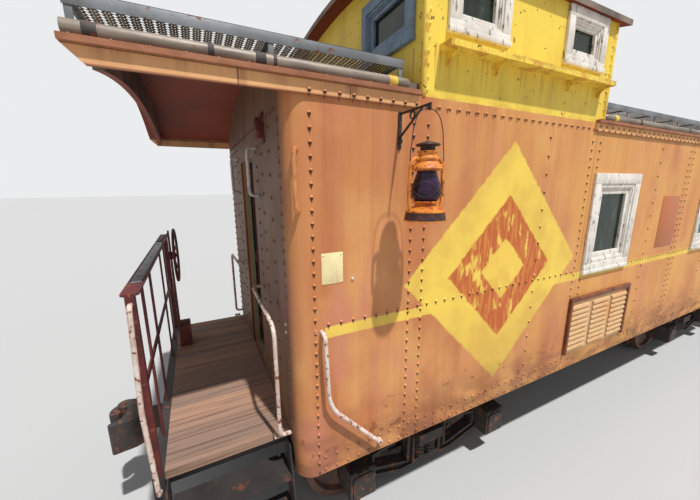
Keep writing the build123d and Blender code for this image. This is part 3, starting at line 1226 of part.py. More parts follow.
# Couplers: a shank in the draft pocket, a head with its guard arm, and a knuckle that hangs between
# two lugs on a pin. Outlines are drawn from above, from the head's root outwards.
head_x = end_sill_x + COUPLER_BEYOND_SILL - COUPLER_HEAD_LENGTH
knuckle_height = HEAD_HEIGHT - 2 * KNUCKLE_LUG


def knuckle(end):
    """Knuckle of the coupler at one end, resting on the lower lug."""
    plane = Plane(origin=(end * head_x, 0, COUPLER_Z - KNUCKLE_CLEARANCE), x_dir=(end, 0, 0), z_dir=(0, 0, 1))
    nose_x = COUPLER_HEAD_LENGTH - 2
    with BuildPart() as jaw:
        with BuildSketch(plane):
            with BuildLine():
                ThreePointArc((112, -76), (106, -122), (128, -168))
                ThreePointArc((128, -168), (220, -158), (nose_x, -62))
                ThreePointArc((nose_x, -62), (244, -24), (206, -22))
                ThreePointArc((206, -22), (184, -34), (178, -76))
                Line((178, -76), (112, -76))
            make_face()
            with Locations(KNUCKLE_PIN):
                Circle(KNUCKLE_PIN_RADIUS + KNUCKLE_CLEARANCE, mode=Mode.SUBTRACT)
        extrude(amount=knuckle_height / 2, both=True)
    return jaw.part


with BuildPart() as couplers:
    for end in (-1, 1):
        head_plane = Plane(origin=(end * head_x, 0, COUPLER_Z), x_dir=(end, 0, 0), z_dir=(0, 0, 1))
        with BuildSketch(end_plane(end, half_body + SHANK_START)):
            with Locations((0, COUPLER_Z)):
                Rectangle(SHANK_WIDTH, SHANK_HEIGHT)
        extrude(amount=head_x - half_body - SHANK_START)
        with BuildSketch(head_plane):
            with BuildLine():
                Line((-60, -65), (-60, 65))
                ThreePointArc((-60, 65), (-20, 120), (45, 160))
                Line((45, 160), (190, 178))
                ThreePointArc((190, 178), (226, 160), (214, 128))
                ThreePointArc((214, 128), (138, 88), (112, 10))
                Line((112, 10), (112, -66))
                ThreePointArc((112, -66), (205, -122), (112, -178))
                Line((112, -178), (45, -160))
                ThreePointArc((45, -160), (-20, -120), (-60, -65))
            make_face()
        extrude(amount=HEAD_HEIGHT / 2, both=True)
        # The slot between the lugs, and the pin through them
        with BuildSketch(head_plane):
            with Locations((104, -195)):
                Rectangle(160, 125, align=Align.MIN)
        extrude(amount=knuckle_height / 2 + KNUCKLE_CLEARANCE, both=True, mode=Mode.SUBTRACT)
        with BuildSketch(head_plane):
            with Locations(KNUCKLE_PIN):
                Circle(KNUCKLE_PIN_RADIUS)
        extrude(amount=HEAD_HEIGHT / 2 + 12, both=True)
    for end in (-1, 1):
        add(knuckle(end))
couplers.part.label = "couplers"
export_step(couplers.part, "parts/couplers.step")

# Air brake gear under the floor: a reservoir on one side and the brake cylinder on the other
with BuildPart() as air_reservoir:
    with BuildSketch(Plane.YZ.offset(-RESERVOIR_LENGTH / 2)):
        with Locations((RESERVOIR_Y, RESERVOIR_Z)):
            Circle(RESERVOIR_RADIUS)
    extrude(amount=RESERVOIR_LENGTH)
    fillet(air_reservoir.edges().filter_by(GeomType.CIRCLE), radius=RESERVOIR_HEAD_FILLET)
    band_x = RESERVOIR_LENGTH / 2 - RESERVOIR_BAND_FROM_END
    for x in (-band_x, band_x):
        with BuildSketch(Plane.YZ.offset(x - RESERVOIR_BAND / 2)):
            with Locations((RESERVOIR_Y, RESERVOIR_Z)):
                Circle(RESERVOIR_RADIUS + RESERVOIR_BAND_THICKNESS)
            with Locations((RESERVOIR_Y, deck_z)):
                Rectangle(RESERVOIR_HANGER_WIDTH, deck_z - RESERVOIR_Z, align=(Align.CENTER, Align.MAX))
        extrude(amount=RESERVOIR_BAND)
air_reservoir.part.label = "air_reservoir"
export_step(air_reservoir.part, "parts/air_reservoir.step")

# Cylinder: barrel, flanged head, push rod, each a disc: start, length, radius
cylinder_head_x = CYLINDER_START_X + CYLINDER_LENGTH
with BuildPart() as brake_cylinder:
    for start, length, radius in (
            (CYLINDER_START_X, CYLINDER_LENGTH, CYLINDER_RADIUS),
            (cylinder_head_x, CYLINDER_FLANGE_THICKNESS, CYLINDER_RADIUS + CYLINDER_FLANGE),
            (cylinder_head_x + CYLINDER_FLANGE_THICKNESS, PUSH_ROD_LENGTH, PUSH_ROD_RADIUS)):
        with BuildSketch(Plane.YZ.offset(start)):
            with Locations((CYLINDER_Y, CYLINDER_Z)):
                Circle(radius)
        extrude(amount=length)
    for x in (CYLINDER_START_X + CYLINDER_HANGER, cylinder_head_x - 2 * CYLINDER_HANGER):
        with BuildSketch(Plane.YZ.offset(x)):
            with Locations((CYLINDER_Y, deck_z)):
                Rectangle(CYLINDER_HANGER_WIDTH, deck_z - CYLINDER_Z, align=(Align.CENTER, Align.MAX))
        extrude(amount=CYLINDER_HANGER)
brake_cylinder.part.label = "brake_cylinder"
export_step(brake_cylinder.part, "parts/brake_cylinder.step")

# Stove, its flue up through the roof, the smokejack's cap and the collar that seats on the roof
cap_z = roof_crown_z + FLUE_ABOVE_ROOF
stove_top_z = FLOOR_Z + STOVE_HEIGHT
with BuildPart() as stove:
    with BuildSketch(Plane.XY.offset(roof_crown_z - 160)):
        with Locations((stove_x, stove_y)):
            Circle(COLLAR_RADIUS)
    extrude(amount=160 - 90 + COLLAR_HEIGHT, taper=8)
    extrude(arched_band(roof_half_width, roof_crown_z, ROOF_RADIUS, ROOF_THICKNESS * 4, stove_x - 500),
            amount=1000, mode=Mode.SUBTRACT)
    with BuildSketch(Plane.XY.offset(FLOOR_Z + STOVE_LEG)):
        with Locations((stove_x, stove_y)):
            RectangleRounded(STOVE_WIDTH, STOVE_WIDTH, 40)
    extrude(amount=STOVE_HEIGHT - STOVE_LEG - STOVE_TOP_PLATE)
    with BuildSketch(Plane.XY.offset(stove_top_z - STOVE_TOP_PLATE)):
        with Locations((stove_x, stove_y)):
            RectangleRounded(STOVE_WIDTH + 2 * STOVE_TOP_LIP, STOVE_WIDTH + 2 * STOVE_TOP_LIP, 50)
    extrude(amount=STOVE_TOP_PLATE)
    with BuildSketch(Plane.XY.offset(FLOOR_Z)):
        with Locations((stove_x, stove_y)):
            leg_pitch = STOVE_WIDTH - 2 * STOVE_LEG_WIDTH
            with GridLocations(leg_pitch, leg_pitch, 2, 2):
                Rectangle(STOVE_LEG_WIDTH, STOVE_LEG_WIDTH)
    extrude(amount=STOVE_LEG + 10)
    # Fire door on the aisle's side
    with BuildSketch(Plane.XZ.offset(STOVE_WIDTH / 2 - stove_y)):
        with Locations((stove_x, (FLOOR_Z + STOVE_LEG + stove_top_z) / 2)):
            RectangleRounded(STOVE_DOOR_WIDTH, STOVE_DOOR_HEIGHT, 20)
    extrude(amount=STOVE_DOOR_THICKNESS)
    with BuildSketch(Plane.XY.offset(stove_top_z)):
        with Locations((stove_x, stove_y)):
            Circle(FLUE_RADIUS)
    extrude(amount=cap_z - stove_top_z)
    with BuildSketch(Plane.XY.offset(cap_z)):
        with Locations((stove_x, stove_y)):
            Circle(FLUE_RADIUS + 70)
    extrude(amount=110, taper=35)
stove.part.label = "stove"
export_step(stove.part, "parts/stove.step")

# Bunks: a padded bench along each side wall behind the cupola
bunk_wall_y = half_width - WALL
with BuildPart() as bunks:
    for side, front, rear in BUNK_RUNS:
        with BuildSketch(Plane.YZ.offset(half_body - front)):
            with Locations((side * (bunk_wall_y - BUNK_DEPTH / 2), FLOOR_Z + (BUNK_HEIGHT - BUNK_CUSHION) / 2)):
                Rectangle(BUNK_DEPTH, BUNK_HEIGHT - BUNK_CUSHION)
            with Locations((side * (bunk_wall_y - (BUNK_DEPTH + BUNK_CUSHION_LIP) / 2),
                            FLOOR_Z + BUNK_HEIGHT - BUNK_CUSHION / 2)):
                Rectangle(BUNK_DEPTH + BUNK_CUSHION_LIP, BUNK_CUSHION)
        extrude(amount=front - rear)
bunks.part.label = "bunks"
export_step(bunks.part, "parts/bunks.step")

# Cupola seats: a raised locker on each side under the lookout windows, with a backrest
with BuildPart() as cupola_seats:
    for side in (-1, 1):
        seat_y = side * (bunk_wall_y - CUPOLA_SEAT_DEPTH / 2)
        with BuildSketch(Plane.XY.offset(FLOOR_Z)):
            with Locations((cupola_x, seat_y)):
                Rectangle(CUPOLA_LENGTH - 2 * (WALL + CUPOLA_SEAT_END_GAP), CUPOLA_SEAT_DEPTH)
        extrude(amount=CUPOLA_SEAT_HEIGHT)
        for facing in (-1, 1):
            with BuildSketch(Plane.XZ.offset(BACKREST_INSET - seat_y - CUPOLA_SEAT_DEPTH / 2)):
                with BuildLine():
                    foot = cupola_x + facing * BACKREST_FROM_MIDDLE
                    head = foot - facing * BACKREST_LEAN
                    low = FLOOR_Z + CUPOLA_SEAT_HEIGHT
                    Polyline((foot, low), (foot + facing * BACKREST_FOOT, low),
                             (head + facing * BACKREST_HEAD, low + BACKREST_HEIGHT), (head, low + BACKREST_HEIGHT),
                             close=True)
                make_face()
            extrude(amount=CUPOLA_SEAT_DEPTH - 2 * BACKREST_INSET)
cupola_seats.part.label = "cupola_seats"
export_step(cupola_seats.part, "parts/cupola_seats.step")

# Louvre panel: a framed plate with columns of pressed slats
with BuildPart() as louvre_panel:
    louvre_height = LOUVRE_TOP - LOUVRE_BOTTOM
    louvre_mid_x = side_window_xs[0] + LOUVRE_FROM_WINDOW
    louvre_low_z = FLOOR_Z + LOUVRE_BOTTOM
    louvre_top_z = FLOOR_Z + LOUVRE_TOP
    column_pitch = LOUVRE_WIDTH / LOUVRE_COLUMNS
    slat_length = column_pitch - 2 * LOUVRE_MARGIN
    row_pitch = (louvre_height - LOUVRE_TOP_RAIL - 1.5 * LOUVRE_FOOT) / LOUVRE_ROWS
    with BuildSketch(wall_plane(-1)):
        with Locations((along(-1, louvre_mid_x), (louvre_low_z + louvre_top_z) / 2)):
            Rectangle(LOUVRE_WIDTH, louvre_height)
    extrude(amount=LOUVRE_THICKNESS)
    with BuildSketch(wall_plane(-1).offset(LOUVRE_THICKNESS)):
        with Locations((along(-1, louvre_mid_x), louvre_top_z - LOUVRE_TOP_RAIL / 2)):
            Rectangle(LOUVRE_WIDTH, LOUVRE_TOP_RAIL)
    extrude(amount=LOUVRE_RAIL_THICKNESS)
    # Each slat is pressed out along a curve and open below
    face_y = -half_width - LOUVRE_THICKNESS
    for column in range(LOUVRE_COLUMNS):
        slat_x = louvre_mid_x - LOUVRE_WIDTH / 2 + (column + 0.5) * column_pitch - slat_length / 2
        with BuildSketch(Plane.YZ.offset(slat_x)):
            for row in range(LOUVRE_ROWS):
                slat_z = louvre_low_z + LOUVRE_FOOT + row * row_pitch
                slat_top = slat_z + row_pitch * 0.7
                with BuildLine():
                    Line((face_y, slat_top), (face_y, slat_z))
                    Line((face_y, slat_z), (face_y - SLAT_REACH, slat_z))
                    ThreePointArc((face_y - SLAT_REACH, slat_z),
                                  (face_y - SLAT_REACH * 0.75, (slat_z + slat_top) / 2 + 4), (face_y, slat_top))
                make_face()
        extrude(amount=slat_length)
louvre_panel.part.label = "louvre_panel"
export_step(louvre_panel.part, "parts/louvre_panel.step")

# Lantern bracket: wall plate, level arm with a hooked tip and a diagonal stay
bracket_x = BRACKET_FROM_END - half_body
bracket_top_z = FLOOR_Z + BRACKET_TOP
arm_z = bracket_top_z - ARM_BELOW_TOP
arm_root_y = -half_width - BRACKET_PLATE_THICKNESS / 2
hook_y = -half_width - BRACKET_REACH
hook_z = arm_z - ARM_HEIGHT / 2 - HOOK_RADIUS + 2
with BuildPart() as lantern_bracket:
    with BuildSketch(wall_plane(-1)):
        with Locations((along(-1, bracket_x), bracket_top_z - BRACKET_PLATE_HEIGHT / 2)):
            RectangleRounded(BRACKET_PLATE_WIDTH, BRACKET_PLATE_HEIGHT, BRACKET_PLATE_WIDTH / 3)
    extrude(amount=BRACKET_PLATE_THICKNESS)
    with BuildSketch(Plane.YZ.offset(bracket_x)):
        with BuildLine():
            Polyline((arm_root_y, arm_z - ARM_HEIGHT / 2), (arm_root_y, arm_z + ARM_HEIGHT / 2),
                     (hook_y - HOOK_RADIUS, arm_z + ARM_HEIGHT / 2), (hook_y - HOOK_RADIUS, arm_z - ARM_HEIGHT / 2),
                     close=True)
        make_face()
        # The stay rises from the foot of the plate to the arm
        with BuildLine():
            stay_tip_y = hook_y + STAY_FROM_TIP
            Polyline((arm_root_y, arm_z - STAY_DROP), (arm_root_y, arm_z - STAY_DROP + STAY_HEIGHT),
                     (stay_tip_y + STAY_HEIGHT, arm_z - 2), (stay_tip_y, arm_z - 2), close=True)
        make_face()
        # A scroll under the arm, small curls at the plate's ends and the hook's eye at the tip
        for y, z, radius, strap in (
                (hook_y + SCROLL_FROM_TIP, arm_z - ARM_HEIGHT / 2 - SCROLL_RADIUS + 2, SCROLL_RADIUS, SCROLL_STRAP),
                (arm_root_y - SCROLL_RADIUS / 2, arm_z - STAY_DROP - SCROLL_RADIUS / 2, SCROLL_RADIUS / 2 + 4,
                 SCROLL_STRAP),
                (hook_y, hook_z, HOOK_RADIUS, HOOK_WIRE)):
            with Locations((y, z)):
                Circle(radius)
                Circle(radius - strap, mode=Mode.SUBTRACT)
    extrude(amount=BRACKET_BAR / 2, both=True)
lantern_bracket.part.label = "lantern_bracket"
export_step(lantern_bracket.part, "parts/lantern_bracket.step")

# Lantern, turned about its own axis, with two side tubes and a bail
lantern_z = FLOOR_Z + LANTERN_BOTTOM
lantern_axis = Axis((bracket_x, hook_y, lantern_z), (0, 0, 1))


def wire(points, corner, radius):
    """Round wire bent through points given as distance beside the lantern's axis and height."""
    with BuildPart() as bar:
        with BuildLine() as route:
            FilletPolyline(*[(bracket_x + beside, hook_y, height) for beside, height in points],
                           radius=[corner] * (len(points) - 2))
        with BuildSketch(Plane(origin=route.line @ 0, z_dir=route.line % 0)):
            Circle(radius)
        sweep(path=route.line)
    return bar.part


with BuildPart() as lantern:
    with BuildSketch(Plane(origin=lantern_axis.position, x_dir=(1, 0, 0), z_dir=(0, -1, 0))):
        with BuildLine():
            Polyline(*LANTERN_PROFILE, close=True)
        make_face()
    revolve(axis=lantern_axis)
    for hand in (-1, 1):
        add(wire([(hand * beside, lantern_z + height) for beside, height in TUBE_ROUTE], TUBE_CORNER, TUBE_RADIUS))
    # The bail's top lies in the eye of the bracket's hook
    bail_top_z = hook_z - HOOK_RADIUS + HOOK_WIRE + BAIL_RADIUS + BAIL_CLEARANCE
    foot_z = lantern_z + BAIL_FOOT_HEIGHT
    shoulder_z = bail_top_z - BAIL_SHOULDER_DROP
    add(wire([(-BAIL_HALF_WIDTH, foot_z), (-BAIL_HALF_WIDTH, shoulder_z), (-BAIL_TOP_HALF, bail_top_z),
              (BAIL_TOP_HALF, bail_top_z), (BAIL_HALF_WIDTH, shoulder_z), (BAIL_HALF_WIDTH, foot_z)],
             BAIL_CORNER, BAIL_RADIUS))
lantern.part.label = "lantern"
export_step(lantern.part, "parts/lantern.step")

# Trucks
half_base = TRUCK_WHEELBASE / 2
frame_end = half_base + BOX_HALF_LENGTH
arm_top_z = axle_z + FRAME_ARM_ABOVE_AXLE
arm_low_z = axle_z - FRAME_ARM_BELOW_AXLE
frame_top_z = axle_z + FRAME_TOP_ABOVE_AXLE
frame_low_z = axle_z - FRAME_BOTTOM_BELOW_AXLE
box_inner_y = frame_inner_y - BOX_BEHIND_FRAME
box_face_y = journal_end_y + BOX_BEYOND_JOURNAL
beam_reach = TREAD_RADIUS + SHOE_GAP + SHOE_THICKNESS + BEAM_BEHIND_SHOE


def frame_sketch(plane, rib):
    """Side frame seen from outside, or its web alone: what is left inside ribs of this width."""
    with BuildSketch(plane) as outline:
        with BuildLine():
            Polyline((-frame_end, arm_low_z), (-frame_end, arm_top_z - 25), (25 - frame_end, arm_top_z),
                     (138 - half_base, arm_top_z), (-FRAME_MIDDLE_HALF, frame_top_z), (FRAME_MIDDLE_HALF, frame_top_z),
                     (half_base - 138, arm_top_z), (frame_end - 25, arm_top_z), (frame_end, arm_top_z - 25),
                     (frame_end, arm_low_z), (half_base - 118, arm_low_z), (FRAME_MIDDLE_HALF, frame_low_z),
                     (-FRAME_MIDDLE_HALF, frame_low_z), (118 - half_base, arm_low_z), close=True)
        make_face()
        if rib:
            offset(amount=-rib, kind=Kind.INTERSECTION)
        fillet(outline.vertices(), radius=FRAME_INNER_CORNER if rib else FRAME_CORNER)
        # The bolster's window; the web's recess leaves the whole column round it
        column_low, column_top = (frame_low_z, frame_top_z) if rib else (SPRING_SEAT_Z, BOLSTER_WINDOW_TOP)
        with Locations((0, (column_low + column_top) / 2)):
            Rectangle(2 * (TRUCK_BOLSTER_HALF_WIDTH + BOLSTER_WINDOW_PLAY + rib), column_top - column_low,
                      mode=Mode.SUBTRACT)
        # One window on each side of it
        for hand in (-1, 1):
            inner = FRAME_WINDOW_START - rib
            outer = half_base - FRAME_WINDOW_FROM_AXLE + rib
            with BuildLine():
                Polyline((hand * inner, frame_low_z + 85 - rib), (hand * outer, arm_low_z + 80 - rib),
                         (hand * outer, arm_top_z - 80 + rib), (hand * inner, frame_top_z - 90 + rib), close=True)
            make_face(mode=Mode.SUBTRACT)
    return outline.sketch


for name, truck_x in (("front", -truck_centre_x), ("rear", truck_centre_x)):
    with BuildPart() as truck_frame:
        for side in (-1, 1):
            frame_plane = Plane(origin=(truck_x, side * frame_inner_y, 0), x_dir=(-side, 0, 0), z_dir=(0, side, 0))
            extrude(frame_sketch(frame_plane, 0), amount=FRAME_THICKNESS)
            # The web lies back between the ribs of the outer face
            extrude(frame_sketch(frame_plane.offset(FRAME_THICKNESS - FRAME_RIB_HEIGHT), FRAME_RIB),
                    amount=FRAME_RIB_HEIGHT, mode=Mode.SUBTRACT)
            # Guides that the ends of the brake beams lie on
            guide_start = TRUCK_BOLSTER_HALF_WIDTH + GUIDE_FROM_BOLSTER
            guide_stop = half_base - beam_reach + BEAM_WIDTH / 2 + GUIDE_BEYOND_BEAM
            guide_inner_y = frame_inner_y - GUIDE_REACH
            with BuildSketch(Plane.XY.offset(axle_z - BEAM_HEIGHT / 2)):
                for hand in (-1, 1):
                    with Locations((truck_x + hand * (guide_start + guide_stop) / 2,
                                    side * (guide_inner_y + frame_inner_y + 10) / 2)):
                        Rectangle(guide_stop - guide_start, frame_inner_y + 10 - guide_inner_y)
            extrude(amount=-GUIDE_THICKNESS)
            # Journal boxes, each with a hinged lid on its face
            for box_x in (truck_x - half_base, truck_x + half_base):
                box_top_z = axle_z + BOX_TOP_ABOVE_AXLE
                face_y = side * box_face_y
                lid_y = side * (box_face_y + LID_THICKNESS)
                with BuildSketch(Plane.YZ.offset(box_x - BOX_HALF_LENGTH)):
                    with BuildLine():
                        Polyline((face_y, arm_low_z), (side * box_inner_y, arm_low_z), (side * box_inner_y, box_top_z),
                                 (side * (box_face_y - 30), box_top_z))
                        ThreePointArc((side * (box_face_y - 30), box_top_z), (side * (box_face_y - 8), box_top_z - 10),
                                      (face_y, box_top_z - 32))
                        Line((face_y, box_top_z - 32), (face_y, arm_low_z))
                    make_face()
                extrude(amount=2 * BOX_HALF_LENGTH)
                with BuildSketch(Plane.XZ.offset(-lid_y)):
                    with Locations((box_x, (arm_low_z + box_top_z) / 2 - 8)):
                        RectangleRounded(2 * LID_HALF_LENGTH, box_top_z - arm_low_z - 50, 40)
                extrude(amount=side * LID_THICKNESS)
                with BuildSketch(Plane.YZ.offset(box_x - LID_HALF_LENGTH / 2)):
                    with Locations((side * (box_face_y - 6), box_top_z - 16)):
                        Circle(LID_HINGE_RADIUS)
                extrude(amount=LID_HALF_LENGTH)
                with BuildSketch(Plane.XZ.offset(-side * box_inner_y)):
                    with Locations((box_x, axle_z)):
                        Circle(JOURNAL_RADIUS + JOURNAL_CLEARANCE)
                extrude(amount=-side * (journal_end_y + 10 - box_inner_y), mode=Mode.SUBTRACT)
    truck_frame.part.label = f"{name}_truck_frame"
    export_step(truck_frame.part, f"parts/{name}_truck_frame.step")

    with BuildPart() as truck_bolster:
        bolster_top = CENTRE_PLATE_Z - BOWL_DEPTH
        reach = frame_outer_y + BOLSTER_BEYOND_FRAME
        foot_y = frame_inner_y - BOLSTER_FOOT_FROM_FRAME
        shoulder_y = frame_inner_y - BOLSTER_SHOULDER_FROM_FRAME
        with BuildSketch(Plane.YZ.offset(truck_x)):
            with BuildLine():
                Polyline((-reach, SPRING_TOP_Z), (-foot_y, SPRING_TOP_Z), (-BOLSTER_BELLY_HALF, BOLSTER_BELLY_Z),
                         (BOLSTER_BELLY_HALF, BOLSTER_BELLY_Z), (foot_y, SPRING_TOP_Z), (reach, SPRING_TOP_Z),
                         (reach, BOLSTER_END_TOP_Z), (shoulder_y, BOLSTER_END_TOP_Z),
                         (BOLSTER_CROWN_HALF, bolster_top), (-BOLSTER_CROWN_HALF, bolster_top),
                         (-shoulder_y, BOLSTER_END_TOP_Z), (-reach, BOLSTER_END_TOP_Z), close=True)
            make_face()
        extrude(amount=TRUCK_BOLSTER_HALF_WIDTH, both=True)
        with BuildSketch(Plane.XY.offset(bolster_top)):
            with Locations((truck_x, 0)):
                Circle(CENTRE_PLATE_RADIUS + BOWL_RIM)
        extrude(amount=2 * BOWL_DEPTH)
        with BuildSketch(Plane.XY.offset(CENTRE_PLATE_Z - PLATE_CLEARANCE)):
            with Locations((truck_x, 0)):
                Circle(CENTRE_PLATE_RADIUS + BOWL_CLEARANCE)
        extrude(amount=2 * BOWL_DEPTH, mode=Mode.SUBTRACT)
        for side in (-1, 1):
            with BuildSketch(Plane.XY.offset(BOLSTER_END_TOP_Z)):
                with Locations((truck_x, side * SIDE_BEARING_Y)):
                    Rectangle(SIDE_BEARING_LENGTH, SIDE_BEARING_WIDTH)
            extrude(amount=CENTRE_PLATE_Z + SIDE_BEARING_RISE - BOLSTER_END_TOP_Z)
    truck_bolster.part.label = f"{name}_truck_bolster"
    export_step(truck_bolster.part, f"parts/{name}_truck_bolster.step")

    with BuildPart() as truck_springs:
        spring_y = frame_inner_y + FRAME_THICKNESS / 2
        coil_pitch = (SPRING_TOP_Z - SPRING_SEAT_Z) / SPRING_COILS
        for side in (-1, 1):
            for hand in (-1, 1):
                coil_x = truck_x + hand * (SPRING_RADIUS + 3)
                with BuildSketch(Plane(origin=(coil_x, side * spring_y, SPRING_SEAT_Z), x_dir=(1, 0, 0),
                                       z_dir=(0, -1, 0))):
                    # The outline goes in between the coils and out over each one
                    outline = [(0, 0), (SPRING_RADIUS - SPRING_GROOVE, 0)]
                    for coil in range(SPRING_COILS):
                        outline.append((SPRING_RADIUS, (coil + 0.3) * coil_pitch))
                        outline.append((SPRING_RADIUS, (coil + 0.7) * coil_pitch))
                        outline.append((SPRING_RADIUS - SPRING_GROOVE, (coil + 1) * coil_pitch))
                    outline.append((0, SPRING_COILS * coil_pitch))
                    with BuildLine():
                        Polyline(*outline, close=True)
                    make_face()
                revolve(axis=Axis((coil_x, side * spring_y, SPRING_SEAT_Z), (0, 0, 1)))
    truck_springs.part.label = f"{name}_truck_springs"
    export_step(truck_springs.part, f"parts/{name}_truck_springs.step")

    # Brakes: a beam beside each axle, in its guides, with a curved shoe at each wheel's tread
    with BuildPart() as truck_brakes:
        for hand in (-1, 1):
            axle_x = truck_x + hand * half_base
            reach = TREAD_RADIUS + SHOE_GAP
            for side in (-1, 1):
                with BuildSketch(Plane.XZ.offset(-side * (WHEEL_BACK_Y + SHOE_FROM_WHEEL_BACK))):
                    with Locations((axle_x, axle_z)):
                        Circle(reach + SHOE_THICKNESS)
                        Circle(reach, mode=Mode.SUBTRACT)
                        with Locations((-hand * (reach + SHOE_THICKNESS), 0)):
                            Rectangle(4 * SHOE_THICKNESS, SHOE_HEIGHT, mode=Mode.INTERSECT)
                extrude(amount=SHOE_WIDTH / 2, both=True)
            beam_x = axle_x - hand * beam_reach
            with BuildSketch(Plane.XZ):
                with Locations((beam_x, axle_z)):
                    Rectangle(BEAM_WIDTH, BEAM_HEIGHT)
            extrude(amount=frame_inner_y - BEAM_END_GAP, both=True)
            # Lever through the beam's middle
            with BuildSketch(Plane.XZ):
                with Locations((beam_x, axle_z - BOTTOM_ROD_BELOW_AXLE - LEVER_WIDTH / 2)):
                    Rectangle(LEVER_WIDTH, LEVER_ABOVE_AXLE + BOTTOM_ROD_BELOW_AXLE + LEVER_WIDTH / 2,
                              align=(Align.CENTER, Align.MIN))
            extrude(amount=LEVER_THICKNESS / 2, both=True)
        # Rod that joins the two levers below the bolster
        rod_half = half_base - beam_reach
        with BuildSketch(Plane.YZ.offset(truck_x - rod_half)):
            with Locations((0, axle_z - BOTTOM_ROD_BELOW_AXLE)):
                Circle(BOTTOM_ROD_RADIUS)
        extrude(amount=2 * rod_half)
    truck_brakes.part.label = f"{name}_truck_brakes"
    export_step(truck_brakes.part, f"parts/{name}_truck_brakes.step")

    # Wheelsets: one axle with two flanged wheels, turned about the axle line
    for number, axle_side in ((1, -1), (2, 1)):
        axle_x = truck_x + axle_side * half_base
        back = WHEEL_BACK_Y
        face = wheel_face_y
        hub_inner = back - HUB_BEHIND_WHEEL
        hub_outer = face + HUB_BEYOND_WHEEL
        seat_start = hub_inner - WHEEL_SEAT_SHOULDER
        flange_radius = TREAD_RADIUS + FLANGE_HEIGHT
        with BuildPart() as wheelset:
            with BuildSketch(Plane(origin=(axle_x, 0, axle_z), x_dir=(0, 1, 0), z_dir=(1, 0, 0))):
                with BuildLine():
                    # Axle, wheel seat and the inner side of the hub
                    Polyline((0, 0), (0, AXLE_RADIUS), (seat_start - AXLE_TAPER, AXLE_RADIUS),
                             (seat_start, WHEEL_SEAT_RADIUS), (hub_inner, WHEEL_SEAT_RADIUS),
                             (hub_inner, HUB_RADIUS - HUB_EDGE), (back + 24, HUB_RADIUS))
                    # Dished plate, back of the rim, rounded flange and tread
                    ThreePointArc((back + 24, HUB_RADIUS), (back + 38, 240), (back + 68, PLATE_OUTER_RADIUS))
                    Polyline((back + 68, PLATE_OUTER_RADIUS), (back, RIM_INNER_RADIUS), (back, flange_radius - 12))
                    ThreePointArc((back, flange_radius - 12), (back + 14, flange_radius), (back + 28, flange_radius - 12))
                    ThreePointArc((back + 28, flange_radius - 12), (back + 32, TREAD_RADIUS + 5),
                                  (back + 42, TREAD_RADIUS))
                    # Face of the rim, outer side of the plate and hub, and the journal
                    Polyline((back + 42, TREAD_RADIUS), (face, TREAD_RADIUS - 5), (face, RIM_INNER_RADIUS),
                             (back + 98, PLATE_OUTER_RADIUS))
                    ThreePointArc((back + 98, PLATE_OUTER_RADIUS), (back + 72, 240), (back + 58, HUB_RADIUS))
                    Polyline((back + 58, HUB_RADIUS), (hub_outer, HUB_RADIUS - HUB_EDGE),
                             (hub_outer, WHEEL_SEAT_RADIUS), (hub_outer + 10, WHEEL_SEAT_RADIUS - 6),
                             (hub_outer + JOURNAL_SHOULDER, JOURNAL_RADIUS), (journal_end_y, JOURNAL_RADIUS), (journal_end_y, 0),
                             (0, 0))
                make_face()
            revolve(axis=Axis((axle_x, 0, axle_z), (0, 1, 0)))
            mirror(about=Plane.XZ)
        wheelset.part.label = f"{name}_wheelset_{number}"
        export_step(wheelset.part, f"parts/{name}_wheelset_{number}.step")
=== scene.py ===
# %% [markdown]
# # A weathered riveted caboose
#
# The car comes in as a finished assembly: every wall, wheel and rail is already at its real size and
# place, in metres. What is made here is what the eye sees on it: faded paint and rust, rivets, open
# mesh, wooden window frames, wire and chain. The frame is loaded first, and every size that is
# needed below is read from it, so that nothing has to be fitted by hand afterwards.

# %% Load the frame
import json
import math

import bpy
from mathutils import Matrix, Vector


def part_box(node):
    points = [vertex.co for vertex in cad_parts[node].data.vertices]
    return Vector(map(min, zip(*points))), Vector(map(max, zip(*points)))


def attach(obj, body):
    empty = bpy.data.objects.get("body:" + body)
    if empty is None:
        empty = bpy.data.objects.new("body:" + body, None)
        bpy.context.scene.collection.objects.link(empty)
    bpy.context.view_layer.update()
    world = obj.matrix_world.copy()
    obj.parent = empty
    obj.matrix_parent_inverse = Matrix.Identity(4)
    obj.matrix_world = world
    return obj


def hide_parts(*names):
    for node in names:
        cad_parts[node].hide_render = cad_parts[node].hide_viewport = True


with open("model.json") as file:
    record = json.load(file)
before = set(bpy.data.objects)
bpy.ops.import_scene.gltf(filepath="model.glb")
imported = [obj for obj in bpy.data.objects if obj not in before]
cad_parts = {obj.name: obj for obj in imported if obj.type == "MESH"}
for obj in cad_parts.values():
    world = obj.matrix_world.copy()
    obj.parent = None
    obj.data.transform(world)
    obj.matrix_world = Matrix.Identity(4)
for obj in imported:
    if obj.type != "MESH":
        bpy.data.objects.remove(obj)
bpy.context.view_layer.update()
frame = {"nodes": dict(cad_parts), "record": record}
nodes = frame["nodes"]

# %% [markdown]
# ## Sizes that everything below is placed by
#
# A node's box gives its lowest and highest corner. The side sheet's box gives the wall's plane and
# the corner seams, the floor's box gives the floor, and so on. Rivet rows are then counted off from
# those edges, just as a boilermaker would mark them out on the plate.

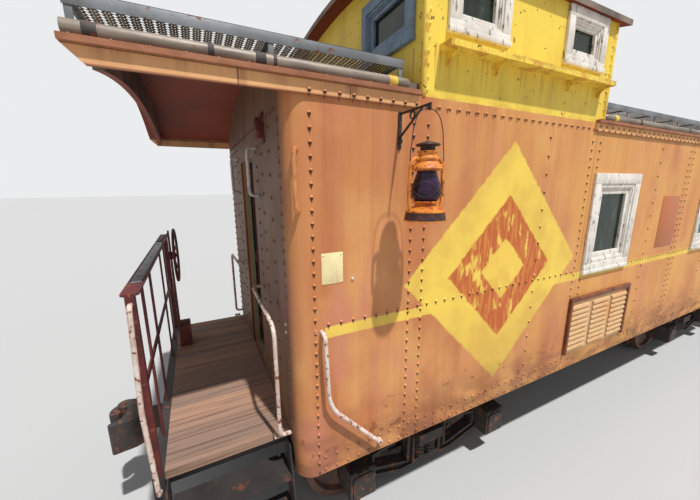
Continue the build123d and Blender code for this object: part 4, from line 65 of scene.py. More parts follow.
# %% Read the main places from the frame
wall_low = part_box("left_side_wall")[0]
end_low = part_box("front_end_wall")[0]
fascia_low, fascia_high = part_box("eave_fascias")
bead_low, bead_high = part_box("eave_mouldings")
cupola_low, cupola_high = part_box("cupola_side_walls")
roof_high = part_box("roof")[1]
walk_low, walk_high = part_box("eave_walkways")
trim_low, trim_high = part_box("side_window_frames")
louvre_low, louvre_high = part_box("louvre_panel")
floor_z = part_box("cabin_floor")[1].z
half_width = abs(wall_low.y)
half_body = abs(end_low.x)
cupola_middle = (cupola_low.x + cupola_high.x) / 2
FIRST_COLUMN_IN = 0.012
first_column = wall_low.x + FIRST_COLUMN_IN
print("floor at", round(floor_z, 3), "wall at", round(half_width, 3))
print("first rivets at", round(first_column, 3))

# %% [markdown]
# ## The camera
#
# The photograph was taken standing at the corner of the car, about head height above the platform,
# with a wide lens. The camera is described by its place, the way it points and its focal length in
# pixels of a 700 by 500 picture, from which the lens in millimetres follows.

# %% Camera
PICTURE_WIDTH = 700
FOCAL_PIXELS = 308.754
CAMERA_PLACE = (-5.0352, -3.1343, 3.0593)
CAMERA_TURN = (78.1498, 0.3298, -26.4092)

bpy.ops.object.camera_add(location=CAMERA_PLACE, rotation=[math.radians(a) for a in CAMERA_TURN])
camera = bpy.context.object
camera.name = "camera"
camera.data.sensor_width = 36
camera.data.lens = camera.data.sensor_width * FOCAL_PIXELS / PICTURE_WIDTH
camera.data.clip_start = 0.02
camera.data.clip_end = 400
bpy.context.scene.camera = camera
print("lens", round(camera.data.lens, 2), "mm")

# %% [markdown]
# ## Light
#
# The day was bright, with the sun almost overhead and a little in front of the side wall, so that
# every rivet throws a short shadow straight down. One sun lamp gives that, a little softened, and an
# even grey world fills the shade. Together they light the wall at a level at which a colour comes out
# about as it is written. The camera, mirrors and glass see a paler world than the one that lights the
# car.

# %% Sun and world
SUN_FROM = (0.10, -0.42, 0.90)
SUN_STRENGTH = 4.2
SUN_SOFTNESS = 1.6
SKY_LEVEL = 0.36
SKY_LIGHT = (0.95, 0.97, 1.0, 1)
BACKDROP = (0.83, 0.84, 0.85, 1)

scene = bpy.context.scene
scene.view_settings.view_transform = "Standard"
bpy.ops.object.light_add(type="SUN", location=(2, -8, 12))
sun = bpy.context.object
sun.name = "sun"
sun.data.energy = SUN_STRENGTH
sun.data.angle = math.radians(SUN_SOFTNESS)
sun_tilt = math.atan2(math.hypot(SUN_FROM[0], SUN_FROM[1]), SUN_FROM[2])
sun.rotation_euler = (0, sun_tilt, math.atan2(SUN_FROM[1], SUN_FROM[0]))

world = bpy.data.worlds.new("studio")
scene.world = world
world.use_nodes = True
sky = world.node_tree.nodes["Background"]
sky.inputs["Strength"].default_value = SKY_LEVEL
sky.inputs["Color"].default_value = SKY_LIGHT
seen_sky = world.node_tree.nodes.new("ShaderNodeBackground")
seen_sky.inputs["Color"].default_value = BACKDROP
light_path = world.node_tree.nodes.new("ShaderNodeLightPath")
either = world.node_tree.nodes.new("ShaderNodeMath")
either.operation = "MAXIMUM"
any_seen = world.node_tree.nodes.new("ShaderNodeMath")
any_seen.operation = "MAXIMUM"
choose = world.node_tree.nodes.new("ShaderNodeMixShader")
link = world.node_tree.links.new
link(light_path.outputs["Is Camera Ray"], either.inputs[0])
link(light_path.outputs["Is Glossy Ray"], either.inputs[1])
link(either.outputs[0], any_seen.inputs[0])
link(light_path.outputs["Is Transmission Ray"], any_seen.inputs[1])
link(any_seen.outputs[0], choose.inputs["Fac"])
link(sky.outputs[0], choose.inputs[1])
link(seen_sky.outputs[0], choose.inputs[2])
link(choose.outputs[0], world.node_tree.nodes["World Output"].inputs["Surface"])
print("sun tilt", round(math.degrees(sun_tilt), 1), "degrees from overhead")

# %% [markdown]
# ## Finishes
#
# Every finish is a small node tree on Object coordinates, which are metres on the car itself, so a
# streak is as long as it would be on the real sheet and a pattern runs on from plate to rivet. The
# trees share a handful of moves: noise stretched to a size, a threshold, a mix of two colours, a
# bump. A small class keeps those moves short. A colour is written as the red, green and blue that a
# screen shows, and turned into light values on the way in.

# %% A helper that builds node trees
class Finish:
    """One material's node tree, built by short calls that each add a node and return its socket."""

    def __init__(self, name, roughness=0.7, metallic=0.0):
        self.material = bpy.data.materials.new(name)
        self.material.use_nodes = True
        self.tree = self.material.node_tree
        self.shader = self.tree.nodes["Principled BSDF"]
        self.shader.inputs["Roughness"].default_value = roughness
        self.shader.inputs["Metallic"].default_value = metallic
        self.place = self.tree.nodes.new("ShaderNodeTexCoord").outputs["Object"]
        axes = self.node("ShaderNodeSeparateXYZ", {0: self.place})
        self.x, self.y, self.z = axes.outputs

    def node(self, kind, inputs, **settings):
        """A node with its settings, and each input either linked or set."""
        made = self.tree.nodes.new(kind)
        for key, value in settings.items():
            setattr(made, key, value)
        for key, value in inputs.items():
            if isinstance(value, bpy.types.NodeSocket):
                self.tree.links.new(value, made.inputs[key])
            else:
                made.inputs[key].default_value = value
        return made

    def noise(self, size, detail=3.0, seed=0.0, roughness=0.55, distortion=0.0):
        """Noise from 0 to 1 whose blotches measure size along x, y and z."""
        scaled = self.node("ShaderNodeMapping", {
            "Vector": self.place, "Location": (seed, seed * 1.7, seed * 0.6),
            "Scale": tuple(1 / s for s in size)})
        made = self.node("ShaderNodeTexNoise", {
            "Vector": scaled.outputs[0], "Scale": 1.0, "Detail": detail, "Roughness": roughness,
            "Distortion": distortion})
        return made.outputs["Fac"]

    def rise(self, value, low, high):
        """0 below low, 1 above high and a smooth slope between; low above high gives the reverse."""
        made = self.node("ShaderNodeMapRange", {"Value": value, "From Min": low, "From Max": high},
                         interpolation_type="SMOOTHSTEP")
        return made.outputs["Result"]

    def math(self, operation, first, second=0.0):
        return self.node("ShaderNodeMath", {0: first, 1: second}, operation=operation).outputs[0]

    def times(self, *values):
        product = values[0]
        for value in values[1:]:
            product = self.math("MULTIPLY", product, value)
        return product

    def band(self, value, low, high, soft=0.004):
        """1 between low and high, with soft edges."""
        start = self.rise(value, low - soft, low + soft)
        stop = self.rise(value, high + soft, high - soft)
        return self.times(start, stop)

    def mix(self, amount, first, second, blend="MIX"):
        made = self.node("ShaderNodeMix", {"Factor": amount, 6: first, 7: second},
                         data_type="RGBA", blend_type=blend)
        return made.outputs[2]

    def colour(self, value):
        self.tree.links.new(value, self.shader.inputs["Base Color"])

    def roughness(self, value):
        self.tree.links.new(value, self.shader.inputs["Roughness"])

    def bump(self, height, depth):
        """Relief of a depth in metres where height goes from 0 to 1."""
        made = self.node("ShaderNodeBump", {"Height": height, "Distance": depth, "Strength": 1.0})
        self.tree.links.new(made.outputs[0], self.shader.inputs["Normal"])


def rgb(red, green, blue):
    """The light values of a screen colour."""
    def light(c):
        c = c / 255
        return c / 12.92 if c <= 0.04045 else ((c + 0.055) / 1.055) ** 2.4
    return (light(red), light(green), light(blue), 1.0)


finishes = {}

# %% [markdown]
# ## Where the rivet rows lie
#
# The rows are marked out before anything is painted, because a small dark triangle is painted below
# each rivet: painted shadow of its head, with a little rust. A column is given by its distance from the
# first one, beside the corner seam, and a row by its height above the floor. A seam between two sheets
# has two close columns, and a stiffener has one wide one.

# %% Rivet rows
CLOSE = 0.0762
WIDE = 0.1524
BELT = 0.089
TOP_PITCH = 0.0897
COLUMN_TOP = 2.155
COLUMN_BOTTOM = -0.17
CLOSE_COLUMNS = (0.0, 0.714, 0.831, 2.800, 2.934, 5.030, 5.135, 7.180, 7.290, 8.864)
WIDE_COLUMNS = (2.155, 4.250, 6.100, 8.090)
TOP_ROW = 2.268
TOP_ROW_START = 0.83
TOP_ROW_END = 2.74
FASCIA_END = 0.72
FASCIA_START = 2.81
FASCIA_STOP = 8.86
FASCIA_PITCH = 0.106
FASCIA_ROWS = (2.262, 2.292)
# Each level row: its start and end from the first column, its height above the floor and its pitch
BELT_ROWS = ((0.089, 2.80, 0.892, BELT), (3.92, 8.80, 0.867, 0.0705))
SKIRT_ROWS = ((0.045, 8.82, -0.10, BELT), (0.045, 8.82, -0.20, BELT))
# The eave row, below whose rivets a shadow is painted as well
EAVE_SHADOW_DRIPS = (0.0, 2.78, TOP_ROW, TOP_PITCH)
print("side columns", len(CLOSE_COLUMNS) + len(WIDE_COLUMNS))

# %% [markdown]
# ## Body paint
#
# The side is a warm tan that has faded and chalked, a little pink near the corner and more ochre
# towards the middle of the car, with faint upright streaks where rain has run down from the eave.
# Rust browns the skirt and the joints between sheets. On it are an old yellow stripe and a large
# yellow lozenge with a rust-red one inside, both half worn away. The end walls stand in the shade
# under the roof, and their paint is darkened to brown there as painted shade, with patchy grime. Shade
# is painted below each rivet and on the underside of its head as well. The inner faces of the same
# sheets carry dull green paint, so the finish looks at the place of a point to tell these apart.

# %% Body paint
TAN = rgb(206, 140, 84)
PALE_TAN = rgb(218, 160, 98)
BURNT = rgb(184, 112, 66)
PINK_FADE = rgb(198, 126, 98)
OCHRE = rgb(222, 164, 84)
RUST = rgb(122, 58, 28)
DARK_RUST = rgb(70, 34, 20)
YELLOW = rgb(240, 206, 84)
YELLOW_LOW = rgb(208, 166, 72)
PAINT_RED = rgb(182, 78, 34)
RED_FADE = rgb(206, 118, 56)
# Dark brown painted on the end walls as painted shade
END_SHADE_BROWN = rgb(62, 42, 28)
HEAD_SHADOW = rgb(66, 32, 18)
INSIDE_GREEN = rgb(134, 142, 112)
STRIPE_LOW = 0.795
STRIPE_HIGH = 0.871
STRIPE_START = 0.064
LOZENGE_X = 1.716
LOZENGE_Z = 1.056
LOZENGE_REACH = 1.04
SHEET_JOINTS = (2.862, 5.083, 7.235)


def lozenge(f, x_from_middle, z_from_middle, reach, rag):
    """1 inside a lozenge whose corners lie at reach from its middle, with a ragged edge."""
    spread = f.math("ADD", f.math("ABSOLUTE", x_from_middle), f.math("ABSOLUTE", z_from_middle))
    return f.rise(f.math("ADD", spread, rag), reach + 0.014, reach - 0.014)


def inside_mask(f):
    """1 on the cabin's inner faces."""
    inside_x = f.rise(f.math("ABSOLUTE", f.x), half_body - 0.040, half_body - 0.044)
    inside_y = f.rise(f.math("ABSOLUTE", f.y), half_width - 0.038, half_width - 0.042)
    return f.times(inside_x, inside_y)


def chalky_tan(f):
    """The faded ground colour: soft wide and faint fine streaks, pink and ochre patches."""
    wide = f.noise((0.17, 0.17, 2.6), detail=5, seed=3, roughness=0.5)
    fine = f.noise((0.030, 0.030, 1.6), detail=4, seed=8, roughness=0.6)
    cloud = f.noise((0.45, 0.45, 0.65), detail=4, seed=1)
    along = f.math("SUBTRACT", f.x, first_column)
    height = f.math("SUBTRACT", f.z, floor_z)
    ground = f.mix(f.rise(wide, 0.30, 0.72), BURNT, TAN)
    ground = f.mix(f.times(f.rise(cloud, 0.42, 0.72), 0.75), ground, PALE_TAN)
    patches = f.rise(f.noise((0.8, 0.8, 1.4), detail=2, seed=14), 0.30, 0.60)
    to_ochre = f.times(f.rise(along, 0.4, 3.2), patches)
    ground = f.mix(f.times(to_ochre, 0.65), ground, OCHRE)
    pink = f.rise(f.noise((0.30, 0.30, 0.75), detail=2, seed=19), 0.46, 0.66)
    low_front = f.times(f.rise(along, 1.5, 0.5), f.rise(height, 2.1, 1.1))
    ground = f.mix(f.times(pink, f.math("ADD", 0.25, f.times(low_front, 0.5))), ground, PINK_FADE)
    return f.mix(f.times(f.rise(fine, 0.40, 0.85), 0.30), ground, BURNT)


def facing_up(f):
    """How far the surface faces up, from -1 to 1."""
    facing = f.tree.nodes.new("ShaderNodeNewGeometry").outputs["Normal"]
    return f.node("ShaderNodeSeparateXYZ", {0: facing}).outputs[2]


def shadow_drip(f, aside, below):
    """A small painted shadow below a rivet, with a little rust: as wide as the head at its middle, gone a
    little further down.
    """
    return f.times(f.rise(f.math("ADD", aside, f.times(below, 0.30)), 0.0135, 0.0105),
                   f.rise(below, 0.0, 0.002))


def column_shadow_drips(f, along, height, columns, pitch):
    """The painted shadows, with a little rust, below the rivets of all columns with one pitch."""
    aside = f.math("ABSOLUTE", f.math("SUBTRACT", along, columns[0]))
    for column in columns[1:]:
        aside = f.math("MINIMUM", aside, f.math("ABSOLUTE", f.math("SUBTRACT", along, column)))
    from_top = f.math("SUBTRACT", COLUMN_TOP, height)
    below = f.times(f.math("FRACT", f.math("DIVIDE", from_top, pitch)), pitch)
    return f.times(shadow_drip(f, aside, below), f.rise(from_top, 0.0, 0.002))


def row_shadow_drips(f, along, height, start, end, level, pitch):
    """The painted shadows, with a little rust, below the rivets of one level row."""
    steps = f.math("FRACT", f.math("ADD", f.math("DIVIDE", f.math("SUBTRACT", along, start), pitch), 0.5))
    aside = f.times(f.math("ABSOLUTE", f.math("SUBTRACT", steps, 0.5)), pitch)
    below = f.math("SUBTRACT", level, height)
    return f.times(shadow_drip(f, aside, below), f.band(along, start - pitch / 2, end + pitch / 2))


def body_paint():
    f = Finish("body_paint", roughness=0.6)
    along = f.math("SUBTRACT", f.x, first_column)
    height = f.math("SUBTRACT", f.z, floor_z)
    ground = chalky_tan(f)
    # Faint brown runs that hang from the eave and fade downwards
    runs = f.noise((0.05, 0.05, 2.4), detail=4, seed=21)
    hang = f.rise(height, 1.3, 2.3)
    ground = f.mix(f.times(f.rise(runs, 0.50, 0.78), hang, 0.26), ground, RUST)
    # The old yellow stripe and lozenge, on the outer faces of both sides
    rag = f.times(f.math("SUBTRACT", f.noise((0.06, 0.06, 0.06), detail=5, seed=5), 0.5), 0.06)
    on_side = f.rise(f.math("ABSOLUTE", f.y), half_width - 0.002, half_width - 0.001)
    stripe_end = abs(first_column) - STRIPE_START
    stripe = f.times(f.band(f.math("ADD", height, f.times(rag, 0.3)), STRIPE_LOW, STRIPE_HIGH),
                     f.rise(f.math("ABSOLUTE", f.x), stripe_end + 0.004, stripe_end - 0.004))
    middle_x = f.math("SUBTRACT", along, LOZENGE_X)
    middle_z = f.math("SUBTRACT", height, LOZENGE_Z)
    outer = lozenge(f, middle_x, middle_z, LOZENGE_REACH, rag)
    inner = lozenge(f, middle_x, middle_z, LOZENGE_REACH * 0.60, rag)
    core = lozenge(f, middle_x, middle_z, LOZENGE_REACH * 0.26, rag)
    brushed = f.noise((0.035, 0.035, 0.22), detail=4, seed=31)
    faded = f.rise(f.noise((0.30, 0.30, 0.35), detail=3, seed=41), 0.36, 0.66)
    low_fade = f.times(f.rise(middle_z, -0.1, -0.9), 0.6)
    yellow = f.mix(f.times(faded, 0.55), YELLOW, YELLOW_LOW)
    yellow = f.mix(low_fade, yellow, YELLOW_LOW)
    red = f.mix(f.rise(brushed, 0.44, 0.66), PAINT_RED, RED_FADE)
    worn_red = f.rise(f.noise((0.07, 0.07, 0.16), detail=5, seed=37), 0.66, 0.56)
    ground = f.mix(f.times(on_side, stripe, 0.9), ground, yellow)
    ground = f.mix(f.times(on_side, outer, 0.94), ground, yellow)
    ground = f.mix(f.times(on_side, inner, worn_red, 0.92), ground, red)
    ground = f.mix(f.times(on_side, core, 0.9), ground, yellow)
    # Dark joints between sheets, small chips, and rust and dirt that gather low on the skirt
    for joint in SHEET_JOINTS:
        line = f.rise(f.math("ABSOLUTE", f.math("SUBTRACT", along, joint)), 0.0035, 0.0015)
        ground = f.mix(f.times(on_side, line, 0.7), ground, DARK_RUST)
    chips = f.rise(f.noise((0.016, 0.016, 0.016), detail=2, seed=51), 0.74, 0.78)
    ground = f.mix(f.times(chips, 0.7), ground, RUST)
    scab = f.rise(f.noise((0.09, 0.09, 0.07), detail=6, seed=53), 0.60, 0.66)
    ground = f.mix(f.times(scab, f.rise(height, 0.5, -0.15), 0.7), ground, RUST)
    splashes = f.rise(f.noise((0.3, 0.3, 0.12), detail=4, seed=57), 0.25, 0.65)
    dirt = f.times(f.rise(height, 0.35, -0.2), splashes)
    ground = f.mix(f.times(dirt, 0.55), ground, DARK_RUST)
    # Painted shadow below each rivet of the columns, of the eave row and of the belt rows: a dark triangle
    # for the shadow of its head, with a little rust
    shadow_drips = f.times(on_side, column_shadow_drips(f, along, height, CLOSE_COLUMNS, CLOSE))
    shadow_drips = f.math("MAXIMUM", shadow_drips, f.times(on_side, column_shadow_drips(f, along, height, WIDE_COLUMNS, WIDE)))
    for start, end, level, pitch in BELT_ROWS + (EAVE_SHADOW_DRIPS,):
        below_row = row_shadow_drips(f, along, height, start, end, level, pitch)
        shadow_drips = f.math("MAXIMUM", shadow_drips, f.times(on_side, below_row))
    ground = f.mix(f.times(shadow_drips, 0.80), ground, HEAD_SHADOW)
    # The end walls between their rounded corners, painted dark brown as painted shade under the roof, with
    # patchy grime
    on_end = f.times(f.rise(f.math("ABSOLUTE", f.x), half_body - 0.03, half_body - 0.01),
                     f.rise(f.math("ABSOLUTE", f.y), half_width - 0.03, half_width - 0.16))
    shade_and_grime = f.rise(f.noise((0.25, 0.12, 0.5), detail=4, seed=59), 0.2, 0.8)
    ground = f.mix(f.times(on_end, f.math("ADD", 0.72, f.times(shade_and_grime, 0.22))), ground, END_SHADE_BROWN)
    # Painted shade on the underside of each rivet head
    standing_out = f.rise(f.math("ABSOLUTE", f.y), half_width + 0.0005, half_width + 0.0015)
    on_face = f.rise(f.math("ABSOLUTE", f.x), half_body + 0.0015, half_body + 0.0005)
    beyond_end = f.math("SUBTRACT", 1.0, on_face)
    shaded_undersides = f.times(f.rise(facing_up(f), 0.05, -0.45), f.math("MAXIMUM", standing_out, beyond_end))
    ground = f.mix(f.times(shaded_undersides, 0.85), ground, HEAD_SHADOW)
    f.colour(f.mix(inside_mask(f), ground, INSIDE_GREEN))
    dents = f.noise((0.40, 0.40, 0.55), detail=2, seed=61)
    orange_peel = f.times(f.noise((0.006, 0.006, 0.006), detail=2, seed=63), 0.06)
    f.bump(f.math("ADD", dents, orange_peel), 0.004)
    f.roughness(f.math("ADD", 0.5, f.times(dents, 0.25)))
    return f.material


finishes["body_paint"] = body_paint()

# %% [markdown]
# ## Eave paint, roof and cupola
#
# The eave plates have the body's colour, made paler as painted light against the shadow of their lip,
# with a browner lip and rust that runs down from it, a thin painted shadow just under the lip, and dark
# joints where one plate meets the next. The roof is a dull grey-brown on top and a smooth dark
# red-brown underneath, which the shader tells apart by the way the surface faces. The bead along the
# eave is bare grey sheet. The cupola is yellow, with dark chips, and rust that runs down below its
# ledges and brackets.

# %% Eave, roof and cupola finishes
LIP_BROWN = rgb(138, 84, 54)
FASCIA_LIT_TAN = rgb(236, 184, 128)
ROOF_GREY = rgb(132, 118, 104)
ROOF_DARK = rgb(92, 80, 70)
UNDER_ROOF = rgb(138, 50, 14)
UNDER_SHADE = rgb(108, 38, 12)
BEAD_GREY = rgb(146, 132, 118)
BEAD_DARK = rgb(108, 94, 82)
CUPOLA_YELLOW = rgb(240, 208, 78)
CUPOLA_DULL = rgb(206, 172, 58)
LIP_HEIGHT = 0.025
FASCIA_JOINTS = (-0.36, 0.245, 3.60, 5.10, 6.60, 8.10)


def fascia_paint():
    f = Finish("fascia_paint", roughness=0.6)
    # A paler tan is mixed into the face: painted light that lifts the part the lip shades
    ground = f.mix(0.55, chalky_tan(f), FASCIA_LIT_TAN)
    along = f.math("SUBTRACT", f.x, first_column)
    lip_z = fascia_high.z - LIP_HEIGHT
    below_lip = f.math("SUBTRACT", lip_z, f.z)
    fade = f.rise(below_lip, 0.095, 0.0)
    thin_runs = f.rise(f.noise((0.016, 0.016, 2.0), detail=3, seed=71), 0.70, 0.76)
    wide_runs = f.rise(f.noise((0.07, 0.07, 2.0), detail=4, seed=73), 0.50, 0.78)
    ground = f.mix(f.times(thin_runs, fade, 0.85), ground, DARK_RUST)
    ground = f.mix(f.times(wide_runs, fade, 0.6), ground, LIP_BROWN)
    for joint in FASCIA_JOINTS:
        line = f.rise(f.math("ABSOLUTE", f.math("SUBTRACT", along, joint)), 0.0045, 0.002)
        ground = f.mix(f.times(line, 0.85), ground, DARK_RUST)
        stain = f.rise(f.math("ABSOLUTE", f.math("SUBTRACT", along, joint + 0.02)), 0.035, 0.005)
        ground = f.mix(f.times(stain, 0.4), ground, LIP_BROWN)
    under_edge = f.rise(f.z, fascia_low.z + 0.010, fascia_low.z + 0.002)
    ground = f.mix(f.times(under_edge, 0.8), ground, RUST)
    lip_tone = f.rise(f.noise((0.10, 0.10, 0.05), detail=4, seed=77), 0.3, 0.7)
    lip_colour = f.mix(lip_tone, LIP_BROWN, rgb(160, 104, 72))
    lip = f.rise(f.z, lip_z - 0.0015, lip_z + 0.0005)
    # A thin dark line just under the lip: painted shadow of the lip
    shadow_under_lip = f.band(f.z, lip_z - 0.005, lip_z - 0.001, 0.001)
    ground = f.mix(f.times(shadow_under_lip, 0.8), ground, DARK_RUST)
    f.colour(f.mix(lip, ground, lip_colour))
    f.bump(f.noise((0.03, 0.03, 0.03), detail=4, seed=79), 0.0008)
    return f.material


def roof_sheet():
    f = Finish("roof_sheet", roughness=0.75)
    top = f.mix(f.rise(f.noise((0.35, 0.2, 0.3), detail=5, seed=81), 0.3, 0.7), ROOF_DARK, ROOF_GREY)
    rust = f.rise(f.noise((0.10, 0.10, 0.10), detail=6, seed=83), 0.58, 0.66)
    top = f.mix(f.times(rust, 0.6), top, RUST)
    under = f.mix(f.rise(f.noise((0.5, 0.8, 0.5), detail=2, seed=85), 0.3, 0.7), UNDER_SHADE, UNDER_ROOF)
    f.colour(f.mix(f.rise(facing_up(f), -0.05, -0.25), top, under))
    f.bump(f.noise((0.05, 0.05, 0.05), detail=3, seed=87), 0.0008)
    return f.material


def bead_sheet():
    f = Finish("bead_sheet", roughness=0.5, metallic=0.15)
    tone = f.rise(f.noise((0.30, 0.05, 0.05), detail=4, seed=181), 0.30, 0.70)
    colour = f.mix(tone, BEAD_DARK, BEAD_GREY)
    spots = f.rise(f.noise((0.05, 0.03, 0.03), detail=5, seed=183), 0.62, 0.68)
    f.colour(f.mix(f.times(spots, 0.5), colour, RUST))
    f.bump(f.noise((0.06, 0.03, 0.03), detail=3, seed=185), 0.0015)
    return f.material


def cupola_paint():
    f = Finish("cupola_paint", roughness=0.55)
    tone = f.rise(f.noise((0.25, 0.25, 0.7), detail=3, seed=91), 0.38, 0.72)
    ground = f.mix(f.times(tone, 0.6), CUPOLA_YELLOW, CUPOLA_DULL)
    chips = f.rise(f.noise((0.05, 0.05, 0.05), detail=6, seed=93), 0.665, 0.68)
    ground = f.mix(f.times(chips, 0.9), ground, rgb(108, 58, 32))
    ledge_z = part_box("cupola_ledges")[1].z
    below_ledge = f.math("SUBTRACT", ledge_z, f.z)
    hang = f.times(f.rise(below_ledge, 0.30, 0.03), f.rise(below_ledge, -0.004, 0.004))
    runs = f.rise(f.noise((0.022, 0.022, 1.5), detail=2, seed=95), 0.54, 0.70)
    ground = f.mix(f.times(runs, hang, 0.55), ground, rgb(176, 104, 40))
    edge_rust = f.rise(f.noise((0.12, 0.06, 0.06), detail=5, seed=98), 0.50, 0.62)
    on_ledge = f.rise(f.math("ABSOLUTE", f.y), half_width + 0.004, half_width + 0.01)
    ground = f.mix(f.times(edge_rust, on_ledge, 0.55), ground, rgb(188, 104, 42))
    foot = f.times(f.rise(f.z, cupola_low.z + 0.05, cupola_low.z),
                   f.rise(f.noise((0.08, 0.08, 0.03), detail=4, seed=99), 0.4, 0.7))
    ground = f.mix(f.times(foot, 0.5), ground, BURNT)
    inside_y = f.rise(f.math("ABSOLUTE", f.y), half_width - 0.038, half_width - 0.042)
    half_cupola = (cupola_high.x - cupola_low.x) / 2
    inside_x = f.rise(f.math("ABSOLUTE", f.math("SUBTRACT", f.x, cupola_middle)),
                      half_cupola - 0.038, half_cupola - 0.042)
    f.colour(f.mix(f.times(inside_x, inside_y), ground, INSIDE_GREEN))
    f.bump(f.noise((0.30, 0.30, 0.4), detail=3, seed=97), 0.003)
    return f.material


finishes["fascia_paint"] = fascia_paint()
finishes["roof_sheet"] = roof_sheet()
finishes["bead_sheet"] = bead_sheet()
finishes["cupola_paint"] = cupola_paint()

# %% [markdown]
# ## Metal and wood
#
# The other finishes are worn paints over steel, plain weathered steel, old boards and leathercloth.
# Most are one ground colour, a second one that shows through in patches, and rust or wear on top, so
# one function with named colours makes them, and a few have their own.

# %% Worn paints and metals
def worn_paint(name, ground, second, wear, patch=0.08, wear_from=0.60, roughness=0.7, metallic=0.0,
               relief=0.0008, seed=0.0, stretch=1.0):
    """Paint in two tones that has worn through in patches to a third colour."""
    f = Finish(name, roughness=roughness, metallic=metallic)
    tone = f.rise(f.noise((patch * 3, patch * 3, patch * 3 * stretch), detail=4, seed=seed + 1), 0.35, 0.65)
    colour = f.mix(tone, ground, second)
    patches = f.noise((patch, patch, patch * stretch), detail=5, seed=seed + 2)
    worn = f.rise(patches, wear_from, wear_from + 0.06)
    colour = f.mix(worn, colour, wear)
    speck = f.rise(f.noise((0.008, 0.008, 0.008), detail=2, seed=seed + 3), 0.66, 0.74)
    colour = f.mix(f.times(speck, 0.5), colour, wear)
    f.colour(colour)
    f.bump(f.math("SUBTRACT", f.noise((0.012, 0.012, 0.012), detail=3, seed=seed + 4), worn), relief)
    return f.material


# Each finish: its ground, its second tone, the tone that it wears to, and what differs from a plain one
WORN_PAINTS = {
    "railing_paint": ((98, 34, 30), (70, 24, 24), (128, 66, 44), dict(patch=0.05, seed=100)),
    "handrail_paint": ((222, 206, 194), (196, 168, 152), (132, 74, 52),
                       dict(patch=0.03, wear_from=0.56, seed=110)),
    "galvanised_grating": ((136, 140, 144), (110, 112, 114), (118, 70, 42),
                           dict(patch=0.07, wear_from=0.62, roughness=0.55, metallic=0.35, seed=120)),
    "underframe_black": ((52, 46, 43), (38, 34, 33), (98, 58, 38),
                         dict(patch=0.10, wear_from=0.60, seed=130)),
    "truck_black": ((58, 48, 42), (44, 38, 36), (110, 64, 40),
                    dict(patch=0.06, wear_from=0.56, relief=0.0015, seed=140)),
    "cast_steel": ((64, 54, 48), (50, 44, 42), (108, 62, 40),
                   dict(patch=0.05, wear_from=0.56, relief=0.0015, seed=150)),
    "door_paint": ((96, 44, 34), (76, 34, 28), (130, 84, 60),
                   dict(patch=0.06, wear_from=0.62, seed=160, stretch=2.0)),
    "inside_paint": ((134, 142, 112), (112, 120, 96), (92, 70, 52),
                     dict(patch=0.12, wear_from=0.66, seed=170)),
    "wrought_iron": ((34, 30, 28), (48, 38, 32), (96, 54, 34),
                     dict(patch=0.02, wear_from=0.60, roughness=0.6, seed=180)),
    "mesh_steel": ((134, 122, 106), (104, 94, 82), (100, 62, 40),
                   dict(patch=0.06, roughness=0.6, metallic=0.2, seed=300)),
    "rusty_steel": ((134, 76, 44), (104, 58, 36), (70, 40, 28), dict(patch=0.05, seed=290)),
}
for name, (ground, second, wear, own) in WORN_PAINTS.items():
    finishes[name] = worn_paint(name, rgb(*ground), rgb(*second), rgb(*wear), **own)
print("worn paints and metals", len(WORN_PAINTS))


# %% Wheel steel
WHEEL_BROWN = rgb(104, 72, 54)
WHEEL_DARK = rgb(74, 54, 44)


def wheel_steel():
    f = Finish("wheel_steel", roughness=0.6)
    tone = f.rise(f.noise((0.15, 0.15, 0.15), detail=5, seed=201), 0.35, 0.65)
    colour = f.mix(tone, WHEEL_DARK, WHEEL_BROWN)
    speck = f.rise(f.noise((0.02, 0.02, 0.02), detail=4, seed=203), 0.6, 0.7)
    f.colour(f.mix(f.times(speck, 0.6), colour, RUST))
    f.bump(f.noise((0.02, 0.02, 0.02), detail=4, seed=205), 0.001)
    return f.material


finishes["wheel_steel"] = wheel_steel()

# %% Wood, leathercloth, white trim and glass
DECK_BOARD = 0.1365
FLOOR_BOARD = 0.10


def boards(name, light, dark, grey, pitch, seed=0.0):
    """Old boards along x: long grain, dark cracks, each board its own tone."""
    f = Finish(name, roughness=0.8)
    number = f.math("FLOOR", f.math("DIVIDE", f.y, pitch))
    own_tone = f.node("ShaderNodeTexWhiteNoise", {"W": f.math("ADD", number, seed)}, noise_dimensions="1D")
    grain = f.noise((0.9, 0.012, 0.02), detail=5, seed=seed, distortion=0.6)
    wide = f.noise((1.2, 0.10, 0.2), detail=3, seed=seed + 2)
    greyness = f.math("ADD", f.times(wide, 0.6), f.times(own_tone.outputs["Value"], 0.4))
    colour = f.mix(f.rise(greyness, 0.25, 0.75), light, grey)
    colour = f.mix(f.times(f.rise(grain, 0.48, 0.66), 0.65), colour, dark)
    f.colour(colour)
    f.bump(grain, 0.0015)
    return f.material


def old_trim(name, pale, shade, wood_light, wood_dark, seed):
    """Flaking paint over grey wood, with fine cracks along the grain."""
    f = Finish(name, roughness=0.65)
    grain = f.noise((0.010, 0.010, 0.30), detail=4, seed=seed)
    peel = f.rise(f.noise((0.035, 0.035, 0.10), detail=6, seed=seed + 2), 0.60, 0.63)
    cracks = f.times(f.rise(grain, 0.62, 0.70), 0.55)
    tone = f.rise(f.noise((0.15, 0.15, 0.2), detail=3, seed=seed + 4), 0.35, 0.65)
    paint = f.mix(tone, pale, shade)
    wood = f.mix(f.rise(grain, 0.4, 0.6), wood_light, wood_dark)
    colour = f.mix(cracks, paint, wood)
    f.colour(f.mix(f.times(peel, 0.85), colour, wood))
    f.bump(f.math("SUBTRACT", f.times(grain, -0.4), peel), 0.0010)
    return f.material


